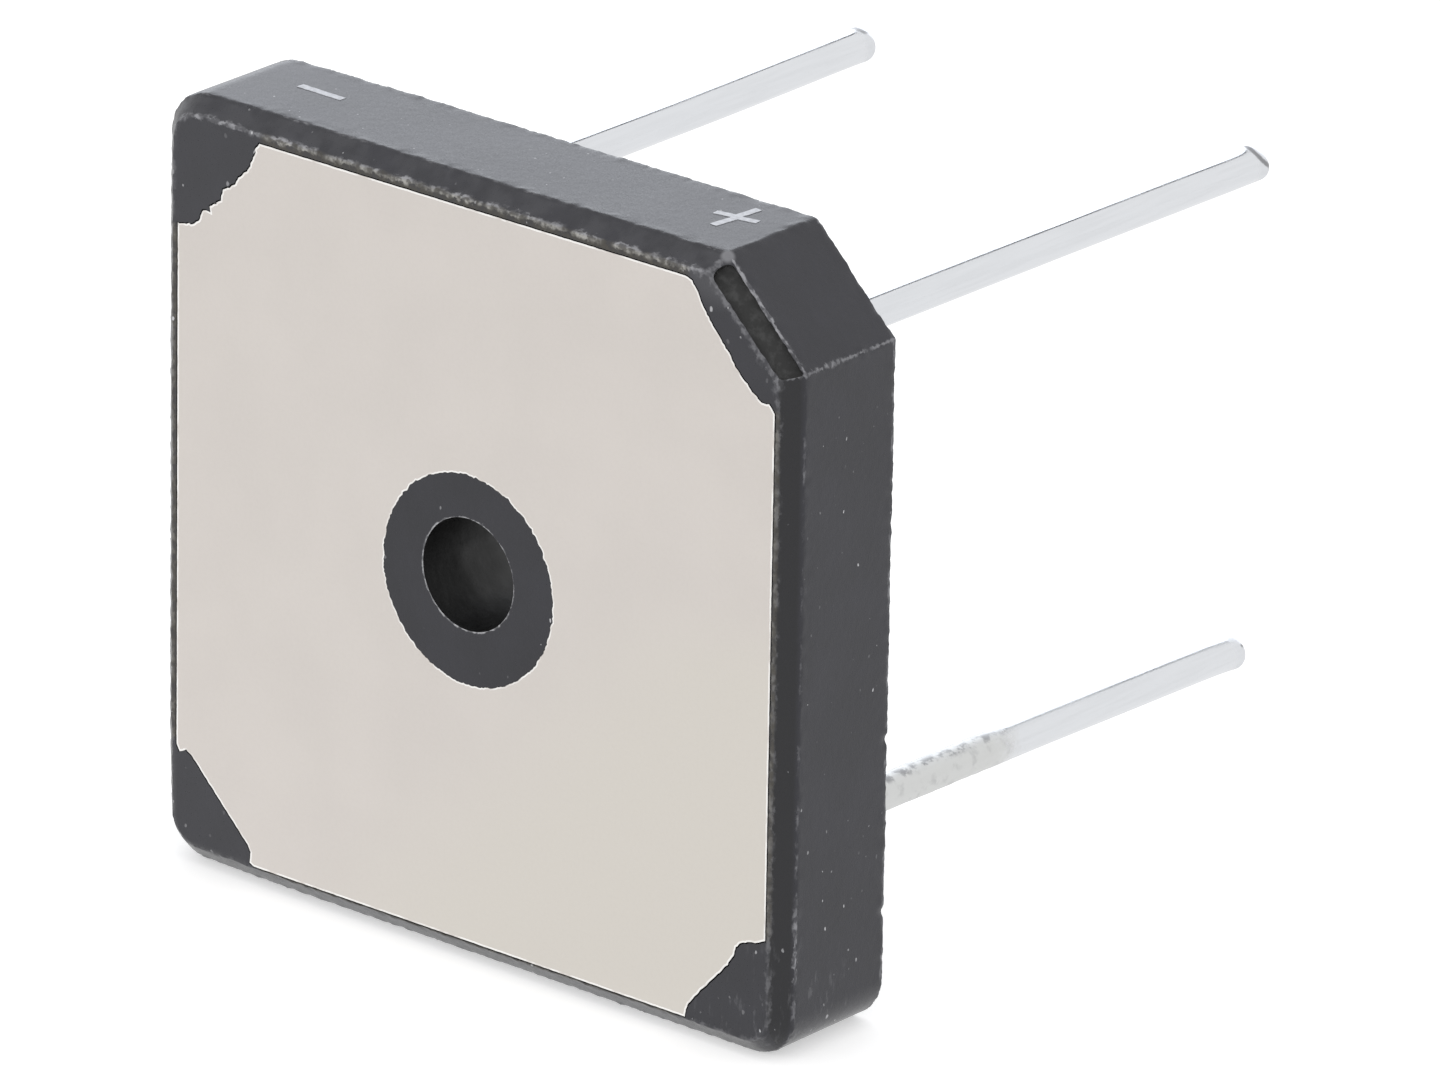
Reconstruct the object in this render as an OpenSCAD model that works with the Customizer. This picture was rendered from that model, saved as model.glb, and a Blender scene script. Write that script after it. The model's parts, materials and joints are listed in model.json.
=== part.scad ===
// Square bridge rectifier with a metal base plate, a screw hole and four round wire leads.
// It stands upright: the plate faces -Y, the leads leave along +Y and +Z is up.
// The origin is the centre of the screw hole, on the plate's face. Lengths are in millimetres.

/* [Body] */
// Side of the square moulded body
body_side = 28.6; // [27.6:0.1:32]
// Depth of the body, from the plate's face to the back
body_depth = 5.3; // [4.4:0.1:8]
// Radius of the three round corners
corner_radius = 1.7; // [1:0.1:2.4]
// Length cut from each side at the plus corner
polarity_cut = 3.5; // [3:0.1:4.2]
// Width and depth of the slanted edge round the front
edge_bevel = 0.65; // [0.4:0.01:0.8]
// Ridge left along each side of the recess that is sunk in the cut corner's slanted edge
recess_lip = 0.08; // [0.04:0.01:0.12]
// Depth of the recess, square to the slanted edge
recess_depth = 0.36; // [0.1:0.02:0.5]
// Compound left at each end of the recess
recess_margin = 0.3; // [0.2:0.05:0.8]

/* [Screw hole] */
// Diameter of the screw hole
hole_d = 4.1; // [3.2:0.1:4.5]
// Wall of compound between the screw hole and the plate
sleeve_wall = 1.8; // [1:0.1:2]

/* [Base plate] */
// Rim of compound between the plate and the slanted edge
plate_rim = 0.2; // [0.16:0.01:0.5]
// Thickness of the plate
plate_thick = 1.2; // [0.8:0.1:1.6]
// Size of the notch at each corner of the plate
plate_notch = 3.5; // [2.5:0.1:4]
// Length of the notch's straight ends, before its slant
notch_end = 0.65; // [0.2:0.05:1]
// How far the plate sits right of the hole's axis
plate_shift_x = 0.05; // [0:0.01:0.08]
// How far the plate sits below the hole's axis
plate_shift_down = 0.12; // [0:0.01:0.15]

/* [Circuit] */
// Thickness of the insulating layer on the plate
insulation_thick = 0.15; // [0.1:0.05:0.3]
// Bare strip of plate round the insulating layer
insulation_margin = 0.4; // [0.2:0.1:0.8]
// Strip of insulating layer left bare round the lands
land_margin = 0.8; // [0.4:0.1:1]
// Thickness of the copper lands
land_thick = 0.3; // [0.2:0.05:0.4]
// Gap between two lands
land_gap = 0.6; // [0.4:0.05:0.8]
// Side of a diode die
die_side = 3.2; // [2.4:0.1:3.4]
// Thickness of a diode die
die_thick = 0.3; // [0.2:0.05:0.4]
// Thickness of a solder layer
solder_thick = 0.06; // [0.04:0.01:0.1]
// Thickness of the clips and the strap
clip_thick = 0.3; // [0.2:0.05:0.4]
// Width of the clips and of the strap's bar
clip_width = 1.6; // [1.2:0.1:1.7]

/* [Leads] */
// Distance between neighbouring leads
lead_spacing = 18.0; // [17.6:0.1:18.6]
// Diameter of a lead
lead_d = 1.27; // [1:0.01:1.5]
// Length of a lead outside the body
lead_reach = 26.9; // [20:0.1:32]
// Bevel round the tip of a lead
lead_tip = 0.2; // [0.1:0.05:0.3]
// Diameter of the flat head inside the body
head_d = 2.2; // [1.8:0.1:2.4]
// Thickness of the head
head_thick = 0.5; // [0.3:0.05:0.8]
// Diameter of the collar that locks a lead in the compound
collar_d = 1.9; // [1.6:0.1:2.2]
// Thickness of the collar
collar_thick = 0.5; // [0.3:0.05:0.7]
// Droop of the plus lead, in degrees
plus_droop = 0.4; // [0:0.05:1]
// Droop of the minus lead, in degrees
minus_droop = 0.35; // [0:0.05:1]
// Droop of the right AC lead, in degrees
ac_right_droop = 1.55; // [0:0.05:2]
// Inward lean of the right AC lead, in degrees
ac_right_lean = 0.75; // [0:0.05:2]

/* [Hidden] */
$fn = 96;

// Half sizes and radii
half = body_side / 2;
plate_half = half - edge_bevel - plate_rim;
sleeve_r = hole_d / 2 + sleeve_wall;
lead_at = lead_spacing / 2;
cut_reach = (2 * half - polarity_cut) / sqrt(2);
recess_width = edge_bevel * sqrt(2) - 2 * recess_lip;
recess_length = polarity_cut * sqrt(2) - 2 * recess_margin;

// Depths of the layers, from the plate's face
insulation_top = plate_thick + insulation_thick;
land_top = insulation_top + land_thick;
die_base = land_top + solder_thick;
die_top = die_base + die_thick;
clip_base = die_top + solder_thick;
clip_top = clip_base + clip_thick;

// Outline that the circuit keeps within
plate_slant = 2 * plate_half - plate_notch - notch_end;
insulation_half = plate_half - insulation_margin;
insulation_slant = plate_slant - insulation_margin * sqrt(2);
circuit_half = insulation_half - land_margin;
circuit_slant = insulation_slant - land_margin * sqrt(2);

// Clearances inside the circuit
sleeve_clear = 0.35;
keep_clear = 0.75;
row_gap = 1;
die_margin = 0.4;
head_margin = 0.3;
collar_cover = 0.1;
strap_side = 1.2;
foot_length = 1.4;
overlap = 0.2;
far = 2 * body_side;

// Edges of the lands
keep_r = sleeve_r + keep_clear;
column_in = keep_r + head_margin;
top_edge = keep_r + row_gap;
column_top = top_edge - land_gap;
minus_in = lead_at - head_d / 2 - head_margin;
tongue_out = minus_in - land_gap;
tongue_in = tongue_out - clip_width;
plus_out = tongue_in - land_gap;

// Places of the dies: [x, up]
upper_row = top_edge + die_margin + die_side / 2;
bar_row = -(keep_r + land_gap + clip_width / 2);
lower_row = bar_row + die_side / 2 - clip_width / 2 - overlap;
plus_right_at = [lead_at - head_d / 2 - die_margin - die_side / 2, upper_row];
plus_left_at = [-(plus_out - die_margin - die_side / 2), upper_row];
minus_right_at = [lead_at - clip_width / 2, lower_row];
minus_left_at = [-minus_right_at[0], lower_row];

// Places of the leads: [x, up]
plus_at = [lead_at, lead_at];
minus_at = [-lead_at, lead_at];
ac_right_at = [lead_at, -lead_at];
ac_left_at = [-lead_at, -lead_at];

// Turns the flat layout upright: x stays, y becomes up and height becomes depth
module upright() {
    rotate([90, 0, 0]) mirror([0, 0, 1]) children();
}

// A block from one corner to the opposite corner
module block(low, high) {
    translate(low) cube(high - low);
}

// A flat layer between two depths
module layer(low, high) {
    translate([0, 0, low]) linear_extrude(height = high - low) children();
}

// A square of the given half side, with its corners cut so that |x| + |y| stays under slant
module cut_square(h, slant) {
    n = slant - h;
    polygon([[h, -n], [h, n], [n, h], [-n, h], [-h, n], [-h, -n], [-n, -h], [n, -h]]);
}

// The body's slab across x, with both its front edges bevelled, of the given length along y
module bevel_slab(length) {
    rotate([90, 0, 0])
        linear_extrude(height = length, center = true)
            polygon([[-half, edge_bevel], [edge_bevel - half, 0], [half - edge_bevel, 0],
                     [half, edge_bevel], [half, body_depth], [-half, body_depth]]);
}

// A quarter of a round corner, with its bevel
module corner_post() {
    rotate_extrude(angle = 90)
        polygon([[0, 0], [corner_radius - edge_bevel, 0], [corner_radius, edge_bevel],
                 [corner_radius, body_depth], [0, body_depth]]);
}

// Everything on the inner side of the cut corner's wall and its bevel
module inside_cut() {
    rotate([0, 0, 45])
        rotate([90, 0, 0])
            linear_extrude(height = far, center = true)
                polygon([[-far, 0], [cut_reach - edge_bevel, 0], [cut_reach, edge_bevel],
                         [cut_reach, body_depth], [-far, body_depth]]);
}

// The body's outer form
module body_form() {
    core = half - corner_radius;
    intersection() {
        union() {
            bevel_slab(2 * core);
            rotate([0, 0, 90]) bevel_slab(2 * core);
            for (turn = [90, 180, 270])
                rotate([0, 0, turn]) translate([core, core, 0]) corner_post();
            intersection() {
                bevel_slab(2 * half);
                rotate([0, 0, 90]) bevel_slab(2 * half);
                cube([half, half, body_depth]);
            }
        }
        inside_cut();
    }
}

// The sunk recess in the slanted edge of the cut corner, round at its upper end
module corner_recess() {
    straight = recess_length - recess_width / 2;
    rotate([0, 0, 45])
        translate([cut_reach - edge_bevel / 2, 0, edge_bevel / 2])
            rotate([0, -45, 0]) {
                translate([-recess_width / 2, -recess_length / 2, -recess_depth])
                    cube([recess_width, straight, 2 * recess_depth]);
                translate([0, straight - recess_length / 2, -recess_depth])
                    cylinder(d = recess_width, h = 2 * recess_depth);
            }
}

// Screw hole through every layer
module screw_hole() {
    translate([0, 0, -overlap]) cylinder(d = hole_d, h = body_depth + 2 * overlap);
}

// Outline of one corner notch of the plate, in the corner where x and y are positive
module notch_outline() {
    h = plate_half;
    n = plate_notch;
    polygon([[h, h - n], [h - notch_end, h - n], [h - n, h - notch_end], [h - n, h],
             [h, h]]);
}

module plate_form() {
    translate([plate_shift_x, -plate_shift_down, 0])
        difference() {
            layer(0, plate_thick) difference() {
                square(2 * plate_half, center = true);
                for (turn = [0:90:270]) rotate(turn) notch_outline();
            }
            translate([0, 0, -overlap]) cylinder(r = sleeve_r, h = plate_thick + 2 * overlap);
        }
}

module insulation_form() {
    translate([plate_shift_x, -plate_shift_down, 0])
        difference() {
            layer(plate_thick, insulation_top) cut_square(insulation_half, insulation_slant);
            translate([0, 0, plate_thick - overlap])
                cylinder(r = sleeve_r + sleeve_clear, h = insulation_thick + 2 * overlap);
        }
}

// A land: the given rectangle, kept within the circuit's outline
module land_form(low, high) {
    intersection() {
        translate([plate_shift_x, -plate_shift_down, 0])
            layer(insulation_top, land_top) cut_square(circuit_half, circuit_slant);
        block([low[0], low[1], insulation_top], [high[0], high[1], land_top]);
    }
}

module land_plus_form() {
    land_form([-plus_out, top_edge], [half, half]);
}

module land_minus_form() {
    land_form([-half, top_edge], [-minus_in, half]);
}

module land_ac_right_form() {
    land_form([column_in, -half], [half, column_top]);
}

module land_ac_left_form() {
    land_form([-half, -half], [-column_in, column_top]);
    land_form([-tongue_out, column_top - overlap], [-tongue_in, upper_row + clip_width]);
}

// A square layer of the circuit, on a die's place
module die_layer(at, low, high) {
    translate([at[0], at[1], 0]) layer(low, high) square(die_side, center = true);
}

// The clip from the right die on the plus land down to the right AC land
module clip_right_form() {
    x0 = plus_right_at[0] - clip_width / 2;
    x1 = x0 + clip_width;
    leg = column_top - clip_thick;
    block([x0, leg, clip_base], [x1, upper_row + clip_width / 2, clip_top]);
    block([x0, leg, land_top], [x1, leg + clip_thick, clip_top]);
    block([x0, column_top - foot_length, land_top], [x1, column_top, land_top + clip_thick]);
}

// The clip from the left die on the plus land to the tongue of the left AC land
module clip_left_form() {
    y0 = upper_row - clip_width / 2;
    y1 = y0 + clip_width;
    leg = -tongue_in - clip_thick;
    block([leg, y0, clip_base], [plus_left_at[0] + clip_width / 2, y1, clip_top]);
    block([leg, y0, land_top], [leg + clip_thick, y1, clip_top]);
    block([-tongue_out, y0, land_top], [-tongue_in, y1, land_top + clip_thick]);
}

// The strap over both dies on the AC lands, and up the left side to the minus land
module strap_form() {
    x0 = -(circuit_half - die_margin - overlap);
    x1 = x0 + strap_side;
    bar_end = minus_right_at[0] + die_side / 2 - overlap;
    leg = top_edge + overlap;
    block([x0, bar_row - clip_width / 2, clip_base],
          [bar_end, bar_row + clip_width / 2, clip_top]);
    block([x0, bar_row, clip_base], [x1, leg + clip_thick, clip_top]);
    block([x0, leg, land_top], [x1, leg + clip_thick, clip_top]);
    block([x0, leg, land_top], [x1, leg + foot_length, land_top + clip_thick]);
}

// The solder joint under a lead's head
module joint_form(at) {
    translate([at[0], at[1], land_top]) cylinder(d = head_d, h = solder_thick);
}

// A lead with its flat head and its collar. It leans about the point where it leaves the body
module lead_form(at, droop = 0, lean = 0) {
    foot = body_depth - die_base - head_thick / 2;
    translate([at[0], at[1], die_base]) cylinder(d = head_d, h = head_thick);
    translate([at[0], at[1], body_depth])
        rotate([droop, -lean, 0]) {
            translate([0, 0, -foot]) cylinder(d = lead_d, h = foot + lead_reach - lead_tip);
            translate([0, 0, -collar_cover - collar_thick])
                cylinder(d = collar_d, h = collar_thick);
            translate([0, 0, lead_reach - lead_tip])
                cylinder(d1 = lead_d, d2 = lead_d - 2 * lead_tip, h = lead_tip);
        }
}

// Everything that the compound is moulded round
module embedded() {
    plate_form();
    insulation_form();
    land_plus_form();
    land_minus_form();
    land_ac_right_form();
    land_ac_left_form();
    for (at = [plus_right_at, plus_left_at, minus_right_at, minus_left_at])
        die_layer(at, land_top, clip_base);
    clip_right_form();
    clip_left_form();
    strap_form();
    for (at = [plus_at, minus_at, ac_right_at, ac_left_at]) joint_form(at);
    lead_form(plus_at, plus_droop);
    lead_form(minus_at, minus_droop);
    lead_form(ac_right_at, ac_right_droop, ac_right_lean);
    lead_form(ac_left_at);
}

module moulded_body() {
    color([0.29, 0.29, 0.31]) upright() difference() {
        body_form();
        screw_hole();
        corner_recess();
        embedded();
    }
}

module base_plate() {
    color([0.83, 0.82, 0.79]) upright() plate_form();
}

module insulation_layer() {
    color([0.85, 0.84, 0.72]) upright() insulation_form();
}

module land_plus() {
    color([0.76, 0.46, 0.28]) upright() land_plus_form();
}

module land_minus() {
    color([0.76, 0.46, 0.28]) upright() land_minus_form();
}

module land_ac_right() {
    color([0.76, 0.46, 0.28]) upright() land_ac_right_form();
}

module land_ac_left() {
    color([0.76, 0.46, 0.28]) upright() land_ac_left_form();
}

module diode(at) {
    color([0.35, 0.37, 0.42]) upright() die_layer(at, die_base, die_top);
}

module solder_under(at) {
    color([0.7, 0.7, 0.72]) upright() die_layer(at, land_top, die_base);
}

module solder_over(at) {
    color([0.7, 0.7, 0.72]) upright() die_layer(at, die_top, clip_base);
}

module clip_right() {
    color([0.8, 0.5, 0.32]) upright() clip_right_form();
}

module clip_left() {
    color([0.8, 0.5, 0.32]) upright() clip_left_form();
}

module strap_minus() {
    color([0.8, 0.5, 0.32]) upright() strap_form();
}

module solder_joint(at) {
    color([0.7, 0.7, 0.72]) upright() joint_form(at);
}

module lead(at, droop = 0, lean = 0) {
    color([0.86, 0.87, 0.89]) upright() lead_form(at, droop, lean);
}

moulded_body();
base_plate();
insulation_layer();
land_plus();
land_minus();
land_ac_right();
land_ac_left();
diode(plus_right_at);  // diode_plus_right
diode(plus_left_at);  // diode_plus_left
diode(minus_right_at);  // diode_minus_right
diode(minus_left_at);  // diode_minus_left
solder_under(plus_right_at);  // solder_under_plus_right
solder_under(plus_left_at);  // solder_under_plus_left
solder_under(minus_right_at);  // solder_under_minus_right
solder_under(minus_left_at);  // solder_under_minus_left
solder_over(plus_right_at);  // solder_over_plus_right
solder_over(plus_left_at);  // solder_over_plus_left
solder_over(minus_right_at);  // solder_over_minus_right
solder_over(minus_left_at);  // solder_over_minus_left
clip_right();
clip_left();
strap_minus();
solder_joint(plus_at);  // joint_plus
solder_joint(minus_at);  // joint_minus
solder_joint(ac_right_at);  // joint_ac_right
solder_joint(ac_left_at);  // joint_ac_left
lead(plus_at, plus_droop);  // lead_plus
lead(minus_at, minus_droop);  // lead_minus
lead(ac_right_at, ac_right_droop, ac_right_lean);  // lead_ac_right
lead(ac_left_at);  // lead_ac_left
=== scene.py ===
"""Gives a square bridge rectifier its looks: the case, the nickel plate, the wire leads and the stage.

Meshes are worked out in millimetres, with X to the right, Y from the plate to the leads and Z up.
The last step of each piece brings it to metres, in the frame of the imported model.
"""

import json
import math
from collections import namedtuple

import bmesh
import bpy
from bpy.props import FloatProperty, FloatVectorProperty, PointerProperty
from mathutils import Matrix, Vector, noise


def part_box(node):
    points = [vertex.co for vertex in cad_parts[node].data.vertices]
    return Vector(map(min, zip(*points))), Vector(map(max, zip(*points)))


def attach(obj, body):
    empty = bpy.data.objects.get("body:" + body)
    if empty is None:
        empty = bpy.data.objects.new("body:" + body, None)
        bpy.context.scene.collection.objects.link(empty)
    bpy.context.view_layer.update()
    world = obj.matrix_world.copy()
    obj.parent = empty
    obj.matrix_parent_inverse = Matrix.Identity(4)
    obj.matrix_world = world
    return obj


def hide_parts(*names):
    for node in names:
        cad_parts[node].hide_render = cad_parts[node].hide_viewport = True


bl_info = {
    "name": "Bridge rectifier looks",
    "version": (1, 0, 0),
    "blender": (4, 5, 0),
    "location": "3D View > Sidebar > Rectifier",
    "description": "Builds the case, plate, leads and stage of a square bridge rectifier",
    "category": "Object",
}

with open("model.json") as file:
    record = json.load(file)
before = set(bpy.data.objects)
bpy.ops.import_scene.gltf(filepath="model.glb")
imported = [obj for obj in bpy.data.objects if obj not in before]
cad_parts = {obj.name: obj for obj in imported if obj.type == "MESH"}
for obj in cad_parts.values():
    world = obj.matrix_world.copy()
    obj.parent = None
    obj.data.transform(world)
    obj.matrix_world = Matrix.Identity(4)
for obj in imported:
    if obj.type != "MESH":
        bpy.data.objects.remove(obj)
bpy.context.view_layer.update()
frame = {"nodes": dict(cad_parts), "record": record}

MM = 0.001
CASE_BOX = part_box("moulded_body")
PLATE_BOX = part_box("base_plate")
MOUNTS = {mount["name"]: mount for mount in frame["record"]["mounts"]}
LEADS = ("plus", "minus", "ac_right", "ac_left")
FRONT = Vector((0, -1, 0))
UPRIGHT = Matrix.Rotation(math.radians(90), 4, "X")


def millimetres(length):
    """A length in metres, as millimetres."""
    return length / MM


# Sizes and colours that a user may change


class CaseSettings(bpy.types.PropertyGroup):
    """Sizes and colours of the moulded case."""

    side: FloatProperty(
        name="Side", description="Side of the square case", unit="LENGTH",
        default=CASE_BOX[1].x - CASE_BOX[0].x)
    depth: FloatProperty(
        name="Depth", description="Depth of the case from front to back", unit="LENGTH",
        default=CASE_BOX[1].y - CASE_BOX[0].y)
    bevel: FloatProperty(
        name="Front bevel", description="Width and depth of the slanted front edge", unit="LENGTH",
        default=0.65 * MM)
    corner: FloatProperty(
        name="Corner radius", description="Radius of the three round corners", unit="LENGTH",
        default=1.7 * MM)
    cut: FloatProperty(
        name="Cut corner", description="Length cut from each side at the plus corner", unit="LENGTH",
        default=3.5 * MM)
    cut_radius: FloatProperty(
        name="Cut radius", description="Radius of the two bends of the cut corner", unit="LENGTH",
        default=0.22 * MM)
    step: FloatProperty(
        name="Mesh step", description="Length of the mesh's faces along the edges", unit="LENGTH",
        default=0.12 * MM)
    edge_roughness: FloatProperty(
        name="Edge roughness", description="How far the worn edges wander", unit="LENGTH",
        default=0.035 * MM)
    colour: FloatVectorProperty(
        name="Compound", description="Colour of the moulding compound", subtype="COLOR",
        default=(0.0135, 0.0135, 0.0195))
    # This colour also paints the highlight on the lit neck by the cut corner
    wear_and_highlight_colour: FloatVectorProperty(
        name="Worn compound", description="Colour of the compound where its edges are worn",
        subtype="COLOR", default=(0.31, 0.31, 0.33))
    rim_colour: FloatVectorProperty(
        name="Rim", description="Colour of the rough rim round the plate", subtype="COLOR",
        default=(0.050, 0.044, 0.034))
    worn_rim_colour: FloatVectorProperty(
        name="Worn rim", description="Colour of the rim's edge where it is worn",
        subtype="COLOR", default=(0.40, 0.39, 0.365))
    dust_colour: FloatVectorProperty(
        name="Dust", description="Colour of the specks of dust", subtype="COLOR",
        default=(0.60, 0.60, 0.62))


class SlotSettings(bpy.types.PropertyGroup):
    """The sunk recess in the slanted edge of the cut corner."""

    front_lip: FloatProperty(
        name="Front lip", description="Ridge left between the recess and the front face",
        unit="LENGTH", default=0.01 * MM)
    side_lip: FloatProperty(
        name="Side lip", description="Ridge left between the recess and the slanted wall",
        unit="LENGTH", default=0.06 * MM)
    upper_margin: FloatProperty(
        name="Upper margin", description="Compound left at the upper end of the recess",
        unit="LENGTH", default=0.3 * MM)
    lower_margin: FloatProperty(
        name="Lower margin", description="Compound left at the lower end of the recess",
        unit="LENGTH", default=0.12 * MM)
    sink: FloatProperty(
        name="Sink", description="Depth of the recess", unit="LENGTH", default=0.36 * MM)


class PlateSettings(bpy.types.PropertyGroup):
    """Sizes and colours of the metal base plate."""

    thickness: FloatProperty(
        name="Thickness", description="Thickness of the plate", unit="LENGTH",
        default=PLATE_BOX[1].y - PLATE_BOX[0].y)
    ring: FloatProperty(
        name="Ring radius", description="Outer radius of the compound ring round the screw hole",
        unit="LENGTH", default=3.83 * MM)
    hole: FloatProperty(
        name="Hole radius", description="Radius of the screw hole", unit="LENGTH",
        default=MOUNTS["screw_hole"]["dims"]["r_mm"] * MM)
    # The bright line is a painted highlight along the plate's cut edge
    edge: FloatProperty(
        name="Bright edge", description="Width of the bright line along the plate's cut edge",
        unit="LENGTH", default=0.068 * MM)
    colour: FloatVectorProperty(
        name="Nickel", description="Colour of the plated face", subtype="COLOR",
        default=(0.717, 0.674, 0.637))
    # Colour of the painted highlight along the plate's cut edge
    edge_highlight_colour: FloatVectorProperty(
        name="Bright nickel", description="Colour of the plate's cut edge", subtype="COLOR",
        default=(0.97, 0.955, 0.93))


class LeadSettings(bpy.types.PropertyGroup):
    """Sizes and colours of the wire leads."""

    radius: FloatProperty(
        name="Radius", description="Radius of a lead", unit="LENGTH",
        default=MOUNTS["plus_lead"]["dims"]["r_mm"] * MM)
    colour: FloatVectorProperty(
        name="Tin", description="Colour of the tinned wire", subtype="COLOR",
        default=(0.735, 0.75, 0.775))
    stain_colour: FloatVectorProperty(
        name="Stain", description="Colour of the dull residue on a lead", subtype="COLOR",
        default=(0.65, 0.655, 0.645))
    smudge_colour: FloatVectorProperty(
        name="Smudge", description="Colour of the dark smudges and of the burr at a tip",
        subtype="COLOR", default=(0.27, 0.27, 0.28))


class MarkSettings(bpy.types.PropertyGroup):
    """The polarity marks on the upper wall."""

    stroke: FloatProperty(
        name="Stroke", description="Width of a mark's stroke", unit="LENGTH", default=0.31 * MM)
    height: FloatProperty(
        name="Height", description="Height of the ink over the wall", unit="LENGTH",
        default=0.012 * MM)
    colour: FloatVectorProperty(
        name="Ink", description="Colour of the marks", subtype="COLOR", default=(0.59, 0.605, 0.65))


class StageSettings(bpy.types.PropertyGroup):
    """The camera, the floor and the light."""

    azimuth: FloatProperty(
        name="Azimuth", description="Direction of the camera, from the front towards the right",
        subtype="ANGLE", default=math.radians(39.784))
    elevation: FloatProperty(
        name="Elevation", description="Height of the camera over the horizon", subtype="ANGLE",
        default=math.radians(21.417))
    roll: FloatProperty(
        name="Roll", description="Turn of the camera about its line of sight", subtype="ANGLE",
        default=math.radians(0.958))
    distance: FloatProperty(
        name="Distance", description="Distance from the camera to the screw hole", unit="LENGTH",
        default=509.718 * MM)
    slide: FloatVectorProperty(
        name="Slide", description="Shift of the camera to its right and upwards", size=2,
        unit="LENGTH", default=(8.6356 * MM, 1.1942 * MM))
    lens: FloatProperty(
        name="Lens", description="Focal length in millimetres on a 36 mm sensor", default=372.10)
    panel_light: FloatProperty(
        name="Panel light", description="Brightness of the light panel, where 1 is white",
        default=1.92)
    floor_colour: FloatVectorProperty(
        name="Floor", description="Colour of the floor", subtype="COLOR", default=(0.8, 0.8, 0.8))


class RectifierSettings(bpy.types.PropertyGroup):
    """Everything that the panel shows."""

    case: PointerProperty(type=CaseSettings)
    slot: PointerProperty(type=SlotSettings)
    plate: PointerProperty(type=PlateSettings)
    leads: PointerProperty(type=LeadSettings)
    marks: PointerProperty(type=MarkSettings)
    stage: PointerProperty(type=StageSettings)


# Shader trees


class Tree:
    """Adds nodes to a shader tree and joins them."""

    def __init__(self, tree):
        self.nodes = tree.nodes
        self.links = tree.links

    def put(self, socket, value):
        """Links a socket to another one, or gives it a plain value."""
        if isinstance(value, bpy.types.NodeSocket):
            self.links.new(value, socket)
        else:
            socket.default_value = value

    def add(self, kind, inputs=None, **settings):
        """A new node with its settings and its inputs by name or number."""
        node = self.nodes.new(kind)
        for name, value in settings.items():
            setattr(node, name, value)
        for name, value in (inputs or {}).items():
            self.put(node.inputs[name], value)
        return node

    def math(self, operation, *values, clamp=False):
        """The result of a Math node."""
        inputs = dict(enumerate(values))
        return self.add("ShaderNodeMath", inputs, operation=operation, use_clamp=clamp).outputs[0]

    def chain(self, operation, result, others):
        """The result of a Math operation with each of the other values in turn."""
        for other in others:
            result = self.math(operation, result, other)
        return result

    def plus(self, first, *others):
        """The sum of the values."""
        return self.chain("ADD", first, others)

    def minus(self, value, other):
        """The first value less the other one."""
        return self.math("SUBTRACT", value, other)

    def times(self, first, *others):
        """The product of the values."""
        return self.chain("MULTIPLY", first, others)

    def most(self, first, *others):
        """The largest of the values."""
        return self.chain("MAXIMUM", first, others)

    def absolute(self, value):
        """The value without its sign."""
        return self.math("ABSOLUTE", value)

    def over(self, value, limit):
        """1 where the value is above the limit, and 0 elsewhere."""
        return self.math("GREATER_THAN", value, limit)

    def vector(self, operation, *values):
        """The result of a Vector Math node."""
        node = self.add("ShaderNodeVectorMath", dict(enumerate(values)), operation=operation)
        return node.outputs["Value" if operation in ("LENGTH", "DOT_PRODUCT") else "Vector"]

    def length(self, vector):
        """The length of a vector."""
        return self.vector("LENGTH", vector)

    def stretch(self, vector, shares):
        """A vector with each of its parts multiplied, which draws a pattern out along a low share."""
        return self.vector("MULTIPLY", vector, shares)

    def pair(self, first, second):
        """A vector made of two values."""
        return self.add("ShaderNodeCombineXYZ", {"X": first, "Y": second}).outputs[0]

    def split(self, vector):
        """The three parts of a vector."""
        return self.add("ShaderNodeSeparateXYZ", {0: vector}).outputs

    def fade(self, value, low, high, start=1.0, end=0.0):
        """A soft step from start to end as value goes from low to high."""
        inputs = {"Value": value, "From Min": low, "From Max": high, "To Min": start, "To Max": end}
        node = self.add("ShaderNodeMapRange", inputs, interpolation_type="SMOOTHSTEP")
        return node.outputs["Result"]

    def rise(self, value, low, high, end=1.0):
        """A soft step from nothing to end as value goes from low to high."""
        return self.fade(value, low, high, 0.0, end)

    def noise(self, vector, scale, detail=2.0, roughness=0.5):
        """The value of a Noise texture."""
        inputs = {"Vector": vector, "Scale": scale, "Detail": detail, "Roughness": roughness}
        return self.add("ShaderNodeTexNoise", inputs).outputs["Fac"]

    def mix(self, factor, first, second):
        """A blend of two colours."""
        node = self.add("ShaderNodeMix", data_type="RGBA")
        for name, value in (("Factor_Float", factor), ("A_Color", first), ("B_Color", second)):
            self.put(next(s for s in node.inputs if s.identifier == name), value)
        return next(s for s in node.outputs if s.identifier == "Result_Color")

    def point(self):
        """The point on the piece, in millimetres."""
        place = self.add("ShaderNodeTexCoord").outputs["Object"]
        node = self.add("ShaderNodeVectorMath", {0: place, "Scale": 1 / MM}, operation="SCALE")
        return node.outputs["Vector"]

    def bump(self, shader, height, depth, strength=1.0):
        """Gives a shader the fine relief of a height, whose full range is depth in millimetres."""
        node = self.add("ShaderNodeBump", {"Height": height, "Distance": depth * MM, "Strength": strength})
        self.put(shader.inputs["Normal"], node.outputs["Normal"])


def opaque(colour):
    """A colour with a full alpha."""
    return (*colour, 1.0)


def shade(colour, share):
    """A darker or lighter kind of a colour, with a full alpha."""
    return opaque([share * part for part in colour])


def new_material(name):
    """An empty material, its tree and its Principled BSDF."""
    material = bpy.data.materials.new(name)
    material.use_nodes = True
    shader = material.node_tree.nodes["Principled BSDF"]
    return material, Tree(material.node_tree), shader


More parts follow.
